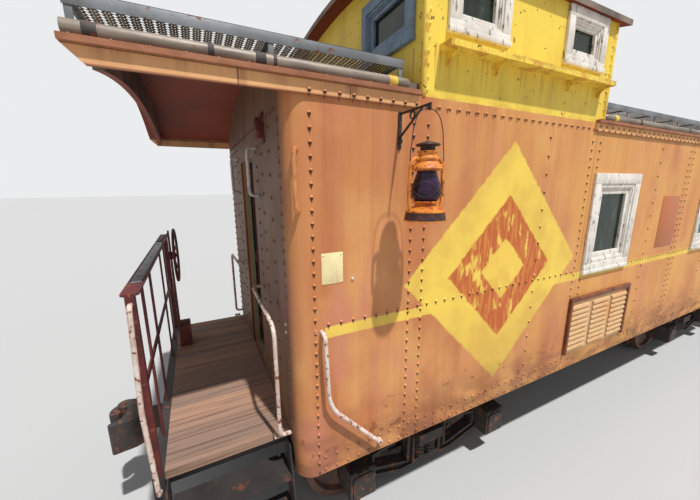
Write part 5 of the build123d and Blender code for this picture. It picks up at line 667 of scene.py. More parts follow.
def grab_paint():
    """Pale grey by the doors and body colour at the rounded corners, with rust where it is worn."""
    f = Finish("grab_paint", roughness=0.6)
    tone = f.rise(f.noise((0.04, 0.04, 0.08), detail=4, seed=111), 0.35, 0.65)
    white = f.mix(tone, rgb(206, 202, 200), rgb(172, 164, 160))
    tan = f.mix(tone, TAN, BURNT)
    colour = f.mix(f.rise(f.math("ABSOLUTE", f.y), half_width - 0.12, half_width - 0.10), white, tan)
    worn = f.rise(f.noise((0.02, 0.02, 0.04), detail=5, seed=113), 0.60, 0.66)
    f.colour(f.mix(f.times(worn, 0.8), colour, RUST))
    f.bump(f.noise((0.01, 0.01, 0.01), detail=3, seed=115), 0.0005)
    return f.material


def leathercloth():
    f = Finish("cushion_leather", roughness=0.5)
    tone = f.rise(f.noise((0.2, 0.2, 0.2), detail=4, seed=231), 0.35, 0.65)
    f.colour(f.mix(tone, rgb(72, 58, 50), rgb(92, 74, 62)))
    cells = f.node("ShaderNodeTexVoronoi", {"Vector": f.place, "Scale": 380.0}).outputs["Distance"]
    f.bump(cells, 0.0004)
    return f.material


def window_glass():
    f = Finish("window_glass", roughness=0.08)
    dust = f.rise(f.noise((0.08, 0.08, 0.16), detail=5, seed=241), 0.45, 0.80)
    f.colour(f.mix(dust, rgb(30, 42, 32), rgb(76, 88, 72)))
    f.roughness(f.math("ADD", 0.06, f.times(dust, 0.25)))
    f.shader.inputs["Alpha"].default_value = 0.70
    return f.material


def globe_glass():
    f = Finish("globe_glass", roughness=0.06)
    soot = f.rise(f.noise((0.05, 0.05, 0.07), detail=4, seed=251), 0.35, 0.7)
    f.colour(f.mix(soot, rgb(50, 26, 58), rgb(26, 12, 18)))
    f.roughness(f.math("ADD", 0.16, f.times(soot, 0.2)))
    f.shader.inputs["Specular IOR Level"].default_value = 0.30
    return f.material


finishes["deck_boards"] = boards("deck_boards", rgb(172, 132, 106), rgb(92, 64, 48), rgb(136, 112, 98),
                                 DECK_BOARD, seed=211)
finishes["floor_wood"] = boards("floor_wood", rgb(120, 86, 60), rgb(62, 42, 30), rgb(104, 82, 66),
                                FLOOR_BOARD, seed=215)
finishes["grab_paint"] = grab_paint()
finishes["white_trim"] = old_trim("white_trim", rgb(230, 224, 214), rgb(210, 202, 192), rgb(150, 136, 120),
                                  rgb(98, 84, 72), seed=221)
finishes["blue_trim"] = old_trim("blue_trim", rgb(126, 146, 166), rgb(104, 124, 146), rgb(150, 150, 150),
                                 rgb(86, 84, 84), seed=224)
finishes["cushion_leather"] = leathercloth()
finishes["window_glass"] = window_glass()
finishes["globe_glass"] = globe_glass()

# %% [markdown]
# ## Louvre panel, plates and lantern tin
#
# The louvre panel is a paler tan than the wall, with rust in its corners. A small cream plate and a
# faded red-brown one are screwed to the side; both are bare. The lantern's tin is orange with rust,
# with a dark skirt round its tank and a sooty cap, which are told apart by their height.

# %% Panel, plate and lantern finishes
LOUVRE_TAN = rgb(204, 166, 120)


def louvre_paint():
    f = Finish("louvre_paint", roughness=0.65)
    tone = f.rise(f.noise((0.2, 0.2, 0.3), detail=3, seed=261), 0.35, 0.7)
    ground = f.mix(f.times(tone, 0.6), LOUVRE_TAN, TAN)
    rust = f.rise(f.noise((0.06, 0.06, 0.08), detail=6, seed=263), 0.58, 0.66)
    from_top = f.math("SUBTRACT", louvre_high.z, f.z)
    edge = f.rise(from_top, 0.10, 0.0)
    left_edge = f.rise(f.math("SUBTRACT", f.x, louvre_low.x), 0.07, 0.0)
    right_edge = f.rise(f.math("SUBTRACT", louvre_high.x, f.x), 0.07, 0.0)
    near_edge = f.math("MAXIMUM", edge, f.math("MAXIMUM", left_edge, right_edge))
    f.colour(f.mix(f.times(rust, f.math("ADD", 0.25, f.times(near_edge, 0.7))), ground, DARK_RUST))
    f.bump(f.noise((0.02, 0.02, 0.02), detail=3, seed=265), 0.0006)
    return f.material


def plate_paint(name, ground, second, seed):
    f = Finish(name, roughness=0.5)
    stain = f.rise(f.noise((0.05, 0.05, 0.14), detail=5, seed=seed), 0.35, 0.75)
    specks = f.rise(f.noise((0.008, 0.008, 0.010), detail=2, seed=seed + 1), 0.68, 0.74)
    f.colour(f.mix(f.times(specks, 0.6), f.mix(f.times(stain, 0.7), ground, second), RUST))
    f.bump(f.noise((0.02, 0.02, 0.02), detail=3, seed=seed + 2), 0.0004)
    return f.material


def rusty_tin():
    f = Finish("rusty_tin", roughness=0.5, metallic=0.1)
    lantern_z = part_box("lantern")[0].z
    height = f.math("SUBTRACT", f.z, lantern_z)
    tone = f.rise(f.noise((0.05, 0.05, 0.07), detail=5, seed=271), 0.35, 0.7)
    colour = f.mix(tone, rgb(222, 140, 48), rgb(184, 92, 36))
    spots = f.rise(f.noise((0.016, 0.016, 0.020), detail=4, seed=273), 0.60, 0.66)
    colour = f.mix(f.times(spots, 0.85), colour, rgb(74, 34, 24))
    skirt = f.times(f.rise(height, 0.056, 0.050), f.rise(height, 0.006, 0.012))
    cap = f.rise(height, 0.392, 0.398)
    soot = f.rise(f.noise((0.03, 0.03, 0.03), detail=3, seed=275), 0.4, 0.7)
    dark = f.mix(soot, rgb(48, 26, 26), rgb(84, 42, 30))
    f.colour(f.mix(f.math("MAXIMUM", skirt, cap), colour, dark))
    f.bump(f.math("SUBTRACT", f.noise((0.008, 0.008, 0.008), detail=3, seed=277), spots), 0.0006)
    return f.material


finishes["louvre_paint"] = louvre_paint()
finishes["cream_plate"] = plate_paint("cream_plate", rgb(236, 220, 168), rgb(214, 186, 128), seed=281)
finishes["red_plate"] = plate_paint("red_plate", rgb(186, 96, 46), rgb(150, 112, 74), seed=285)
finishes["rusty_tin"] = rusty_tin()

# %% [markdown]
# ## The frame's own nodes
#
# Most nodes keep the shape they came with and only need a finish. The frame's record names a material
# slot for every node, and the finish of that name goes on it, apart from three nodes that share their
# slot with others but look different.

# %% Give every node its finish
slot_of = {part["node"]: part["material_slot"] for part in frame["record"]["subparts"]}
OWN_FINISH = {"eave_mouldings": "bead_sheet", "louvre_panel": "louvre_paint", "grab_irons": "grab_paint"}
for name, node in nodes.items():
    node.data.materials.clear()
    node.data.materials.append(finishes[OWN_FINISH.get(name, slot_of[name])])
print("finishes", len(finishes), "for slots", len(set(slot_of.values())))

# %% [markdown]
# ## Floor
#
# The car stands on a plain pale floor, wide enough that its edge never shows. It belongs to the
# stage and not to the object.

# %% Floor
FLOOR_SIZE = 240
bpy.ops.mesh.primitive_plane_add(size=FLOOR_SIZE, location=(0, 0, 0))
floor = bpy.context.object
floor.name = "studio_floor"
floor_finish = Finish("studio_floor", roughness=0.9)
floor_finish.shader.inputs["Base Color"].default_value = (0.46, 0.46, 0.455, 1)
floor.data.materials.append(floor_finish.material)
print("floor", FLOOR_SIZE, "metres square")

# %% [markdown]
# ## Small tools for modelling
#
# Every piece below is started from a primitive, shaped, and then its place is settled into its mesh,
# so that its object sits at the origin as the frame's own nodes do. What repeats is modelled once and
# copied. These few helpers are the moves that come back in every piece.

# %% Helpers for modelling
def only(*objs):
    """Select these objects alone, the first of them active."""
    bpy.ops.object.select_all(action="DESELECT")
    for obj in objs:
        obj.select_set(True)
    bpy.context.view_layer.objects.active = objs[0]


def settle(obj):
    """Move an object's place, turn and size into its mesh."""
    only(obj)
    bpy.ops.object.transform_apply(location=True, rotation=True, scale=True)


def apply(obj, kind, **settings):
    """Add a modifier with these settings and apply it."""
    only(obj)
    made = obj.modifiers.new(kind.lower(), kind)
    for key, value in settings.items():
        setattr(made, key, value)
    bpy.ops.object.modifier_apply(modifier=made.name)


def repeat(obj, count, step):
    """Repeat a form a step apart, by an applied Array."""
    if count > 1:
        apply(obj, "ARRAY", count=count, use_relative_offset=False, use_constant_offset=True,
              constant_offset_displace=step)


def dress(obj, name, finish, body="car", smooth=None):
    """Name a finished piece, give it its finish and let it ride on a body."""
    obj.name = name
    obj.data.name = name
    obj.data.materials.clear()
    obj.data.materials.append(finishes[finish])
    if smooth is not None:
        only(obj)
        bpy.ops.object.shade_smooth_by_angle(angle=math.radians(smooth))
    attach(obj, body)
    print(name, len(obj.data.polygons), "faces")
    return obj


def copy_of(obj):
    """A copy with its own mesh."""
    made = obj.copy()
    made.data = obj.data.copy()
    scene.collection.objects.link(made)
    return made


def placed(obj, location, turn=(0, 0, 0)):
    """A settled copy at a place, turned by degrees."""
    made = copy_of(obj)
    made.rotation_euler = [math.radians(a) for a in turn]
    made.location = location
    settle(made)
    return made


def join(objs, name, finish, body="car", smooth=None):
    """Join pieces into one and dress it."""
    only(*objs)
    if len(objs) > 1:
        bpy.ops.object.join()
    return dress(bpy.context.view_layer.objects.active, name, finish, body, smooth)


def bar(low, high, edge=0.003):
    """A bar between two corners, with softened edges."""
    middle = [(a + b) / 2 for a, b in zip(low, high)]
    bpy.ops.mesh.primitive_cube_add(size=1, location=middle)
    made = bpy.context.object
    made.scale = [b - a for a, b in zip(low, high)]
    settle(made)
    if edge:
        apply(made, "BEVEL", width=edge, segments=2, limit_method="ANGLE")
    return made


def rod(middle, length, radius, axis, edge=0.0, sides=24):
    """A round rod along an axis, with rounded rims."""
    turn = {"x": (0, math.pi / 2, 0), "y": (math.pi / 2, 0, 0), "z": (0, 0, 0)}[axis]
    bpy.ops.mesh.primitive_cylinder_add(vertices=sides, radius=radius, depth=length, location=middle,
                                        rotation=turn)
    made = bpy.context.object
    settle(made)
    if edge:
        apply(made, "BEVEL", width=edge, segments=2, limit_method="ANGLE")
    return made


def wire(points, radius, closed=False, sides=2):
    """A round wire that runs smoothly through points, turned into a mesh."""
    curve = bpy.data.curves.new("wire", "CURVE")
    curve.dimensions = "3D"
    curve.bevel_depth = radius
    curve.bevel_resolution = sides
    curve.resolution_u = 8
    curve.use_fill_caps = True
    spline = curve.splines.new("BEZIER")
    spline.bezier_points.add(len(points) - 1)
    for knot, place in zip(spline.bezier_points, points):
        knot.co = place
        knot.handle_left_type = "AUTO"
        knot.handle_right_type = "AUTO"
    spline.use_cyclic_u = closed
    made = bpy.data.objects.new("wire", curve)
    scene.collection.objects.link(made)
    only(made)
    bpy.ops.object.convert(target="MESH")
    return bpy.context.object


def turned(outline, middle, steps=32):
    """A turned form: an outline of (radius, height) pairs spun about an upright axis."""
    mesh = bpy.data.meshes.new("turned")
    points = [(radius, 0, height) for radius, height in outline]
    mesh.from_pydata(points, [(k, k + 1) for k in range(len(points) - 1)], [])
    made = bpy.data.objects.new("turned", mesh)
    scene.collection.objects.link(made)
    only(made)
    bpy.ops.object.mode_set(mode="EDIT")
    bpy.ops.mesh.select_all(action="SELECT")
    bpy.ops.mesh.spin(steps=steps, angle=math.tau, center=(0, 0, 0), axis=(0, 0, 1))
    bpy.ops.mesh.select_all(action="SELECT")
    bpy.ops.mesh.remove_doubles(threshold=0.0002)
    bpy.ops.mesh.normals_make_consistent(inside=False)
    bpy.ops.object.mode_set(mode="OBJECT")
    made.location = middle
    settle(made)
    return made


# %% [markdown]
# ## Rivets
#
# The sheets are held by button-head rivets: close rows at the seams, wide ones at the stiffeners.
# One rivet is modelled as half of a small sphere, pressed a little flat, then each row is that rivet
# repeated by an Array modifier, and all the rows of one wall are joined. The rows are marked out by
# their distance from the corner seam and the floor, and the same table serves both sides. A row that
# meets a window frame or the louvre panel stops at its edge.

# %% One rivet and a row of rivets
RIVET_RADIUS = 0.0125
RIVET_HEIGHT = 0.0105
OUT_TURN = {"-y": (90, 0, 0), "+y": (-90, 0, 0), "-x": (0, -90, 0), "+x": (0, 90, 0), "+z": (0, 0, 0)}


def model_rivet(radius, height):
    bpy.ops.mesh.primitive_uv_sphere_add(segments=10, ring_count=8, radius=1, location=(0, 0, 0))
    made = bpy.context.object
    bpy.ops.object.mode_set(mode="EDIT")
    bpy.ops.mesh.select_all(action="SELECT")
    bpy.ops.mesh.bisect(plane_co=(0, 0, 0), plane_no=(0, 0, 1), clear_inner=True)
    bpy.ops.object.mode_set(mode="OBJECT")
    made.scale = (radius, radius, height)
    settle(made)
    return made


rivet = model_rivet(RIVET_RADIUS, RIVET_HEIGHT)
small_rivet = model_rivet(0.006, 0.005)


def rivet_row(start, step, count, out, head=None):
    """A row of rivets that stand out along an axis, from a start, a step apart."""
    made = placed(head or rivet, start, OUT_TURN[out])
    repeat(made, count, step)
    return made


def row_to(start, end, pitch):
    """How many rivets go between two places a pitch apart."""
    return int((end - start) / pitch + 0.001) + 1


print("a rivet has", len(rivet.data.polygons), "faces")

# %% Rivets of the side walls
WINDOW_CENTRES = (-1.062, 1.640, 3.450)
WINDOW_REACH = 0.465
FASCIA_FACE = half_width + 0.016


def covered(side, x, z):
    """A place that a window frame or the louvre panel covers."""
    by_window = any(abs(x - middle) < WINDOW_REACH for middle in WINDOW_CENTRES)
    by_louvres = side < 0 and louvre_low.x - 0.01 < x < louvre_high.x + 0.01 and z < louvre_high.z + 0.02
    return (by_window and trim_low.z - 0.02 < z < trim_high.z + 0.02) or by_louvres


def runs_of(places, hidden):
    """Split a list of places into runs that nothing hides."""
    runs = []
    for place in places:
        if hidden(place):
            runs.append([])
        elif runs:
            runs[-1].append(place)
        else:
            runs.append([place])
    return [run for run in runs if run]


def side_rivets(side):
    """All the rivets of one side wall and its eave plates."""
    out = "+y" if side > 0 else "-y"
    y = side * half_width
    rows = []
    for columns, pitch in ((CLOSE_COLUMNS, CLOSE), (WIDE_COLUMNS, WIDE)):
        for column in columns:
            x = first_column + column
            count = row_to(COLUMN_BOTTOM, COLUMN_TOP, pitch)
            heights = [floor_z + COLUMN_TOP - k * pitch for k in range(count)]
            for run in runs_of(heights, lambda z: covered(side, x, z)):
                rows.append(rivet_row((x, y, run[0]), (0, 0, -pitch), len(run), out))
    for start, end, height, pitch in BELT_ROWS + SKIRT_ROWS:
        z = floor_z + height
        places = [first_column + start + k * pitch for k in range(row_to(start, end, pitch))]
        for run in runs_of(places, lambda x: covered(side, x, z)):
            rows.append(rivet_row((run[0], y, z), (pitch, 0, 0), len(run), out))
    z = floor_z + TOP_ROW
    rows.append(rivet_row((first_column, side * FASCIA_FACE, z), (TOP_PITCH, 0, 0),
                          row_to(0, FASCIA_END, TOP_PITCH), out))
    rows.append(rivet_row((first_column + TOP_ROW_START, y, z), (TOP_PITCH, 0, 0),
                          row_to(TOP_ROW_START, TOP_ROW_END, TOP_PITCH), out))
    for k, height in enumerate(FASCIA_ROWS):
        start = FASCIA_START + k * FASCIA_PITCH / 2
        place = (first_column + start, side * FASCIA_FACE, floor_z + height)
        rows.append(rivet_row(place, (FASCIA_PITCH, 0, 0), row_to(start, FASCIA_STOP, FASCIA_PITCH), out))
    return join(rows, f"{'right' if side > 0 else 'left'}_side_rivets", "body_paint", smooth=50)


for side in (-1, 1):
    side_rivets(side)

# %% [markdown]
# The end walls have a close column at each corner, a wider one beside the doorway, still wider ones
# between, and a level row near the top. The cupola has rivets up its corners, on its sides and its
# ends, and a pair of rivets at each of the two middle ledge brackets.

# %% Rivets of the end walls and the cupola
# Each column of an end wall: its distance from the middle and its pitch
END_COLUMNS = ((1.278, CLOSE), (1.02, 0.148), (0.76, 0.142), (0.55, 0.11))
END_TOP = 2.13
END_FOOT = 0.06
END_ROW_HEIGHT = 2.20
END_ROW_REACH = 1.20
END_ROW_PITCH = 0.10
CUPOLA_CORNER_IN = 0.030
CUPOLA_END_CORNER_IN = 0.045
CUPOLA_ROW_FOOT = 0.04
CUPOLA_ROW_HEAD = 0.06
CUPOLA_END_ROW_FOOT = 2.50
MIDDLE_BRACKETS = (1.403, 2.271)
PAIR_ABOVE_FOOT = 0.06
PAIR_PITCH = 0.15


def end_rivets(end):
    """The rivets of one end wall."""
    out = "+x" if end > 0 else "-x"
    x = end * half_body
    rows = []
    for across, pitch in END_COLUMNS:
        count = row_to(END_FOOT, END_TOP, pitch)
        for side in (-1, 1):
            rows.append(rivet_row((x, side * across, floor_z + END_TOP), (0, 0, -pitch), count, out))
    count = row_to(-END_ROW_REACH, END_ROW_REACH, END_ROW_PITCH)
    rows.append(rivet_row((x, -END_ROW_REACH, floor_z + END_ROW_HEIGHT), (0, END_ROW_PITCH, 0), count, out))
    return join(rows, f"{'rear' if end > 0 else 'front'}_end_rivets", "body_paint", smooth=50)


def cupola_rivets():
    rows = []
    foot = cupola_low.z + CUPOLA_ROW_FOOT
    count = row_to(foot, cupola_high.z - CUPOLA_ROW_HEAD, CLOSE)
    for side in (-1, 1):
        out = "+y" if side > 0 else "-y"
        for x in (cupola_low.x + CUPOLA_CORNER_IN, cupola_high.x - CUPOLA_CORNER_IN):
            rows.append(rivet_row((x, side * half_width, foot), (0, 0, CLOSE), count, out))
        for bracket in MIDDLE_BRACKETS:
            place = (first_column + bracket, side * half_width, foot + PAIR_ABOVE_FOOT)
            rows.append(rivet_row(place, (0, 0, PAIR_PITCH), 2, out))
    foot = floor_z + CUPOLA_END_ROW_FOOT
    count = row_to(foot, cupola_high.z - CUPOLA_ROW_HEAD, CLOSE)
    for end, x in ((-1, cupola_low.x), (1, cupola_high.x)):
        out = "+x" if end > 0 else "-x"
        for y in (-half_width + CUPOLA_END_CORNER_IN, half_width - CUPOLA_END_CORNER_IN):
            rows.append(rivet_row((x, y, foot), (0, 0, CLOSE), count, out))
    return join(rows, "cupola_rivets", "cupola_paint", smooth=50)


for end in (-1, 1):
    end_rivets(end)
cupola_rivets()

# %% [markdown]
# ## Walkways of expanded metal
#
# Beside the roof run walkways of expanded metal: a sheet that is slit and pulled open, so that it
# becomes lozenge holes between strands that lean like tiles. One lozenge is modelled from a circle of
# four corners, inset so that only its rim is left, leaned a little and made solid, and two Arrays
# fill the walkway with it. An angle bar holds the outer edge, a flat bar the inner one, and bearers
# lie under the mesh.

# %% Expanded metal walkways
LOZENGE_LONG = 0.0535
LOZENGE_SHORT = 0.0275
STRAND = 0.0064
STRAND_THICKNESS = 0.0022
STRAND_LEAN = -34
WALK_INNER = 1.0
MESH_BELOW_TOP = 0.014
MESH_IN = 0.004
MESH_SPARE = 0.01
ANGLE_HEIGHT = 0.055
ANGLE_FLANGE = 0.040
ANGLE_WALL = 0.004
FLAT_BAR = 0.030
BEARER_PITCH = 0.62
BEARER_LAST = 0.04
BEARER_ALONG = (0.005, 0.035)
FOOT_FROM_EDGE = (0.004, 0.012)
FOOT_BELOW_WALK = 0.003
# The lowest and the highest point of each, below the mesh
FLAT_BAR_BELOW = (0.014, 0.009)
BEARER_BELOW = (0.022, 0.009)
FOOT_TOP_BELOW = 0.01
GAP_BEFORE_CUPOLA = 0.071
GAP_BEHIND_CUPOLA = 0.073
WALK_RUNS = ((walk_low.x, cupola_low.x - GAP_BEFORE_CUPOLA),
             (cupola_high.x + GAP_BEHIND_CUPOLA, walk_high.x))


def model_lozenge():
    bpy.ops.mesh.primitive_circle_add(vertices=4, radius=1, fill_type="NGON", location=(0, 0, 0))
    made = bpy.context.object
    made.scale = (LOZENGE_LONG / 2, LOZENGE_SHORT / 2, 1)
    settle(made)
    bpy.ops.object.mode_set(mode="EDIT")
    bpy.ops.mesh.select_all(action="SELECT")
    bpy.ops.mesh.inset(thickness=STRAND)
    bpy.ops.mesh.delete(type="FACE")
    bpy.ops.object.mode_set(mode="OBJECT")
    made.rotation_euler.x = math.radians(STRAND_LEAN)
    settle(made)
    apply(made, "SOLIDIFY", thickness=STRAND_THICKNESS, offset=0)
    return made


def walkway(side, lozenge_form):
    """The walkways of one side, before and behind the cupola."""
    pieces = []
    meshes = []
    outer = walk_high.y
    top = walk_high.z
    mesh_z = top - MESH_BELOW_TOP
    rows = int((outer - WALK_INNER) / LOZENGE_SHORT)

    def flat(along, across, heights):
        """A bar between two places along the car, two distances from its middle and two heights."""
        near, far = sorted((side * across[0], side * across[1]))
        return bar((along[0], near, heights[0]), (along[1], far, heights[1]), 0.001)

    for start, end in WALK_RUNS:
        count = int((end - start - MESH_SPARE) / LOZENGE_LONG)
        first = (start + LOZENGE_LONG / 2 + MESH_IN, side * (WALK_INNER + LOZENGE_SHORT / 2), mesh_z)
        mesh = placed(lozenge_form, first, (0, 0, 0 if side < 0 else 180))
        repeat(mesh, count, (LOZENGE_LONG, 0, 0))
        repeat(mesh, rows, (0, side * LOZENGE_SHORT, 0))
        meshes.append(mesh)
        # The angle bar's upright and flange, the flat bar, and the bearers with their feet
        run = (start, end)
        pieces.append(flat(run, (outer, outer - ANGLE_WALL), (top - ANGLE_HEIGHT, top)))
        pieces.append(flat(run, (outer, outer - ANGLE_FLANGE), (top - ANGLE_WALL, top)))
        pieces.append(flat(run, (WALK_INNER, WALK_INNER + FLAT_BAR), [mesh_z - z for z in FLAT_BAR_BELOW]))
        first = [start + x for x in BEARER_ALONG]
        bearer = flat(first, (WALK_INNER, outer - ANGLE_WALL), [mesh_z - z for z in BEARER_BELOW])
        foot = flat(first, [outer - y for y in FOOT_FROM_EDGE],
                    (walk_low.z - FOOT_BELOW_WALK, mesh_z - FOOT_TOP_BELOW))
        bearer_count = int((end - start) / BEARER_PITCH) + 1
        pitch = (end - start - BEARER_LAST) / (bearer_count - 1)
        for piece in (bearer, foot):
            repeat(piece, bearer_count, (pitch, 0, 0))
            pieces.append(piece)
    hand = "right" if side > 0 else "left"
    expanded = join(meshes, f"{hand}_walkway_mesh", "mesh_steel")
    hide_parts("eave_walkways")
    return join(pieces, f"{hand}_walkway_angles", "galvanised_grating", smooth=30)


lozenge_form = model_lozenge()
left_walkway = walkway(-1, lozenge_form)
right_walkway = walkway(1, lozenge_form)
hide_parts("eave_walkways")
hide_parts("eave_walkways")

# %% [markdown]
# ## Eave bead straps, roof seams and cupola posts
#
# The bead is held down by narrow straps, most of them dark and two on each side yellow. The roof's
# sheets lap under flat seams that follow its arch, which are made by spinning a small upright
# rectangle about the middle of the arch. Each corner of the cupola has an upright round post that is
# partly sunk into it.

# %% Straps, seams and posts
BEAD_RADIUS = (bead_high.z - bead_low.z) / 2
BEAD_Y = bead_high.y - BEAD_RADIUS
BEAD_Z = bead_high.z - BEAD_RADIUS
STRAP = 0.0022
# Each strap: its distance from the first column and its width
DARK_STRAPS = ((-0.915, 0.050), (-0.470, 0.026), (-0.245, 0.050), (-0.175, 0.018), (3.60, 0.04), (4.80, 0.04),
               (6.00, 0.04), (7.20, 0.04), (8.40, 0.04), (9.40, 0.04))
YELLOW_STRAPS = ((0.535, 0.060), (3.12, 0.06))
ROOF_RADIUS = 3.720
SEAM_REACH = 1.372
SEAM_WIDTH = 0.055
SEAM_HEIGHT = 0.012
SEAM_SUNK = 0.002
ROOF_SEAMS = (-5.30, -4.55, -3.95, -1.10, -0.10, 0.90, 1.90, 2.90, 3.90, 4.55, 5.30)
POST_RADIUS = 0.022
POST_IN = 0.008
POST_SHORT = 0.02
BEAD_RIVET_RUNS = ((-0.98, 0.66), (3.0, 9.85))
BEAD_RIVET_OUT = 0.033
BEAD_RIVET_PITCH = 0.135


def straps(table, name, finish):
    made = []
    for side in (-1, 1):
        for along, width in table:
            middle = (first_column + along, side * BEAD_Y, BEAD_Z)
            made.append(rod(middle, width, BEAD_RADIUS + STRAP, "x", 0.001))
    return join(made, name, finish, smooth=40)


def roof_seams():
    """Flat seams over the roof, each a small rectangle spun about the middle of the arch."""
    made = []
    middle_z = roof_high.z - ROOF_RADIUS
    seam_z = middle_z + ROOF_RADIUS + SEAM_HEIGHT / 2 - SEAM_SUNK
    edge_turn = math.asin(SEAM_REACH / ROOF_RADIUS)
    for x in ROOF_SEAMS:
        bpy.ops.mesh.primitive_plane_add(size=1, location=(x, 0, seam_z), rotation=(math.pi / 2, 0, 0))
        seam = bpy.context.object
        seam.scale = (SEAM_WIDTH, SEAM_HEIGHT, 1)
        settle(seam)
        bpy.ops.object.mode_set(mode="EDIT")
        bpy.ops.mesh.select_all(action="SELECT")
        bpy.ops.transform.rotate(value=-edge_turn, orient_axis="X", center_override=(x, 0, middle_z))
        bpy.ops.mesh.spin(steps=28, angle=2 * edge_turn, center=(x, 0, middle_z), axis=(1, 0, 0))
        bpy.ops.object.mode_set(mode="OBJECT")
        made.append(seam)
    return made


def cupola_posts():
    made = []
    middle_z = (cupola_low.z + cupola_high.z) / 2
    length = cupola_high.z - cupola_low.z - POST_SHORT
    for x in (cupola_low.x + POST_IN, cupola_high.x - POST_IN):
        for y in (-half_width + POST_IN, half_width - POST_IN):
            made.append(rod((x, y, middle_z), length, POST_RADIUS, "z", 0.003))
    return join(made, "cupola_posts", "cupola_paint", smooth=40)


straps(DARK_STRAPS, "bead_straps", "cast_steel")
straps(YELLOW_STRAPS, "yellow_bead_straps", "cupola_paint")
cupola_posts()
join(roof_seams(), "roof_seams", "roof_sheet", smooth=40)
bead_rivets = []
for side in (-1, 1):
    for start, end in BEAD_RIVET_RUNS:
        place = (first_column + start, side * (half_width + BEAD_RIVET_OUT), fascia_high.z)
        count = row_to(start, end, BEAD_RIVET_PITCH)
        bead_rivets.append(rivet_row(place, (BEAD_RIVET_PITCH, 0, 0), count, "+z", small_rivet))
join(bead_rivets, "bead_rivets", "bead_sheet", smooth=50)

# %% [markdown]
# ## Wooden window frames
#
# Each side window is joinery: wide outer boards round the opening, a stepped casing inside them, and
# a sash, all in flaking white paint. One window is modelled from softened bars, facing out with its
# middle on the wall's face, and copied to each place. The cupola's windows are made the same way with
# narrower members, and those in its ends are blue-grey.

# %% Window frames
BOARD_OUT = 0.024
SILL_OUT = 0.034
SILL_PAST = 0.006
SILL_BELOW = 0.002
SILL_TOP = 0.035
CASING_FACES = (-0.014, 0.022)
STOP = 0.012
STOP_FACES = (-0.004, 0.030)
SASH_FACES = (0.006, 0.0335)
SIDE_WINDOW = (0.900, 1.027)
CUPOLA_SIDE_WINDOW = (0.570, 0.430)
CUPOLA_END_WINDOW = (0.690, 0.470)
CUPOLA_WINDOW_OFFSET = 0.617
CUPOLA_WINDOW_Z = 4.2325
CUPOLA_END_WINDOW_ACROSS = 0.975
CUPOLA_END_WINDOW_Z = 4.215


def four_bars(width, height, member, outer, inner, edge=0.003):
    """A rectangular frame of four bars: outer size, member width, outer and inner face along y."""
    x = width / 2
    z = height / 2
    return [bar((-x, outer, z - member), (x, inner, z), edge),
            bar((-x, outer, -z), (x, inner, -z + member), edge),
            bar((-x, outer, -z + member), (-x + member, inner, z - member), edge),
            bar((x - member, outer, -z + member), (x, inner, z - member), edge)]


def model_window(size, board, casing, sash):
    """One window facing along -y with its middle on the wall's face at the origin."""
    width, height = size
    bars = four_bars(width, height, board, -BOARD_OUT, 0.0)
    sill_low = (-width / 2 - SILL_PAST, -SILL_OUT, -height / 2 - SILL_BELOW)
    sill_high = (width / 2 + SILL_PAST, 0, -height / 2 + SILL_TOP)
    bars.append(bar(sill_low, sill_high))
    inside = 2 * board
    bars += four_bars(width - inside, height - inside, casing, *CASING_FACES)
    inside += 2 * casing
    bars += four_bars(width - inside, height - inside, STOP, *STOP_FACES, edge=0.002)
    inside += 2 * STOP
    bars += four_bars(width - inside, height - inside, sash, *SASH_FACES)
    only(*bars)
    bpy.ops.object.join()
    return bpy.context.view_layer.objects.active


side_form = model_window(SIDE_WINDOW, 0.104, 0.040, 0.052)
cupola_form = model_window(CUPOLA_SIDE_WINDOW, 0.078, 0.018, 0.026)
cupola_end_form = model_window(CUPOLA_END_WINDOW, 0.078, 0.018, 0.030)
side_window_z = (trim_low.z + trim_high.z) / 2
side_windows = []
cupola_windows = []
cupola_end_windows = []
for side in (-1, 1):
    turn = (0, 0, 0 if side < 0 else 180)
    for x in WINDOW_CENTRES:
        side_windows.append(placed(side_form, (x, side * half_width, side_window_z), turn))
    for offset in (-CUPOLA_WINDOW_OFFSET, CUPOLA_WINDOW_OFFSET):
        middle = (cupola_middle + offset, side * half_width, CUPOLA_WINDOW_Z)
        cupola_windows.append(placed(cupola_form, middle, turn))
    for x, turn_z in ((cupola_low.x, -90), (cupola_high.x, 90)):
        middle = (x, side * CUPOLA_END_WINDOW_ACROSS, CUPOLA_END_WINDOW_Z)
        cupola_end_windows.append(placed(cupola_end_form, middle, (0, 0, turn_z)))
side_joinery = join(side_windows, "side_window_joinery", "white_trim", smooth=30)
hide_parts("side_window_frames")
cupola_joinery = join(cupola_windows, "cupola_window_joinery", "white_trim", smooth=30)
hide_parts("cupola_window_frames")
cupola_end_joinery = join(cupola_end_windows, "cupola_end_window_joinery", "blue_trim", smooth=30)
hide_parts("cupola_window_frames")

# %% [markdown]
# ## Lantern
#
# The lantern is a cold-blast railroad lamp of thin tin: a wide tank, a dark globe under a hood and a
# chimney cap, hollow side tubes that carry air down to the burner, and crossed wires that guard the
# globe. The round forms are turned from outlines, and the tubes and wires follow smooth curves.

# %% Lantern
lamp_low, lamp_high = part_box("lantern")
lamp = ((lamp_low.x + lamp_high.x) / 2, (lamp_low.y + lamp_high.y) / 2, lamp_low.z)
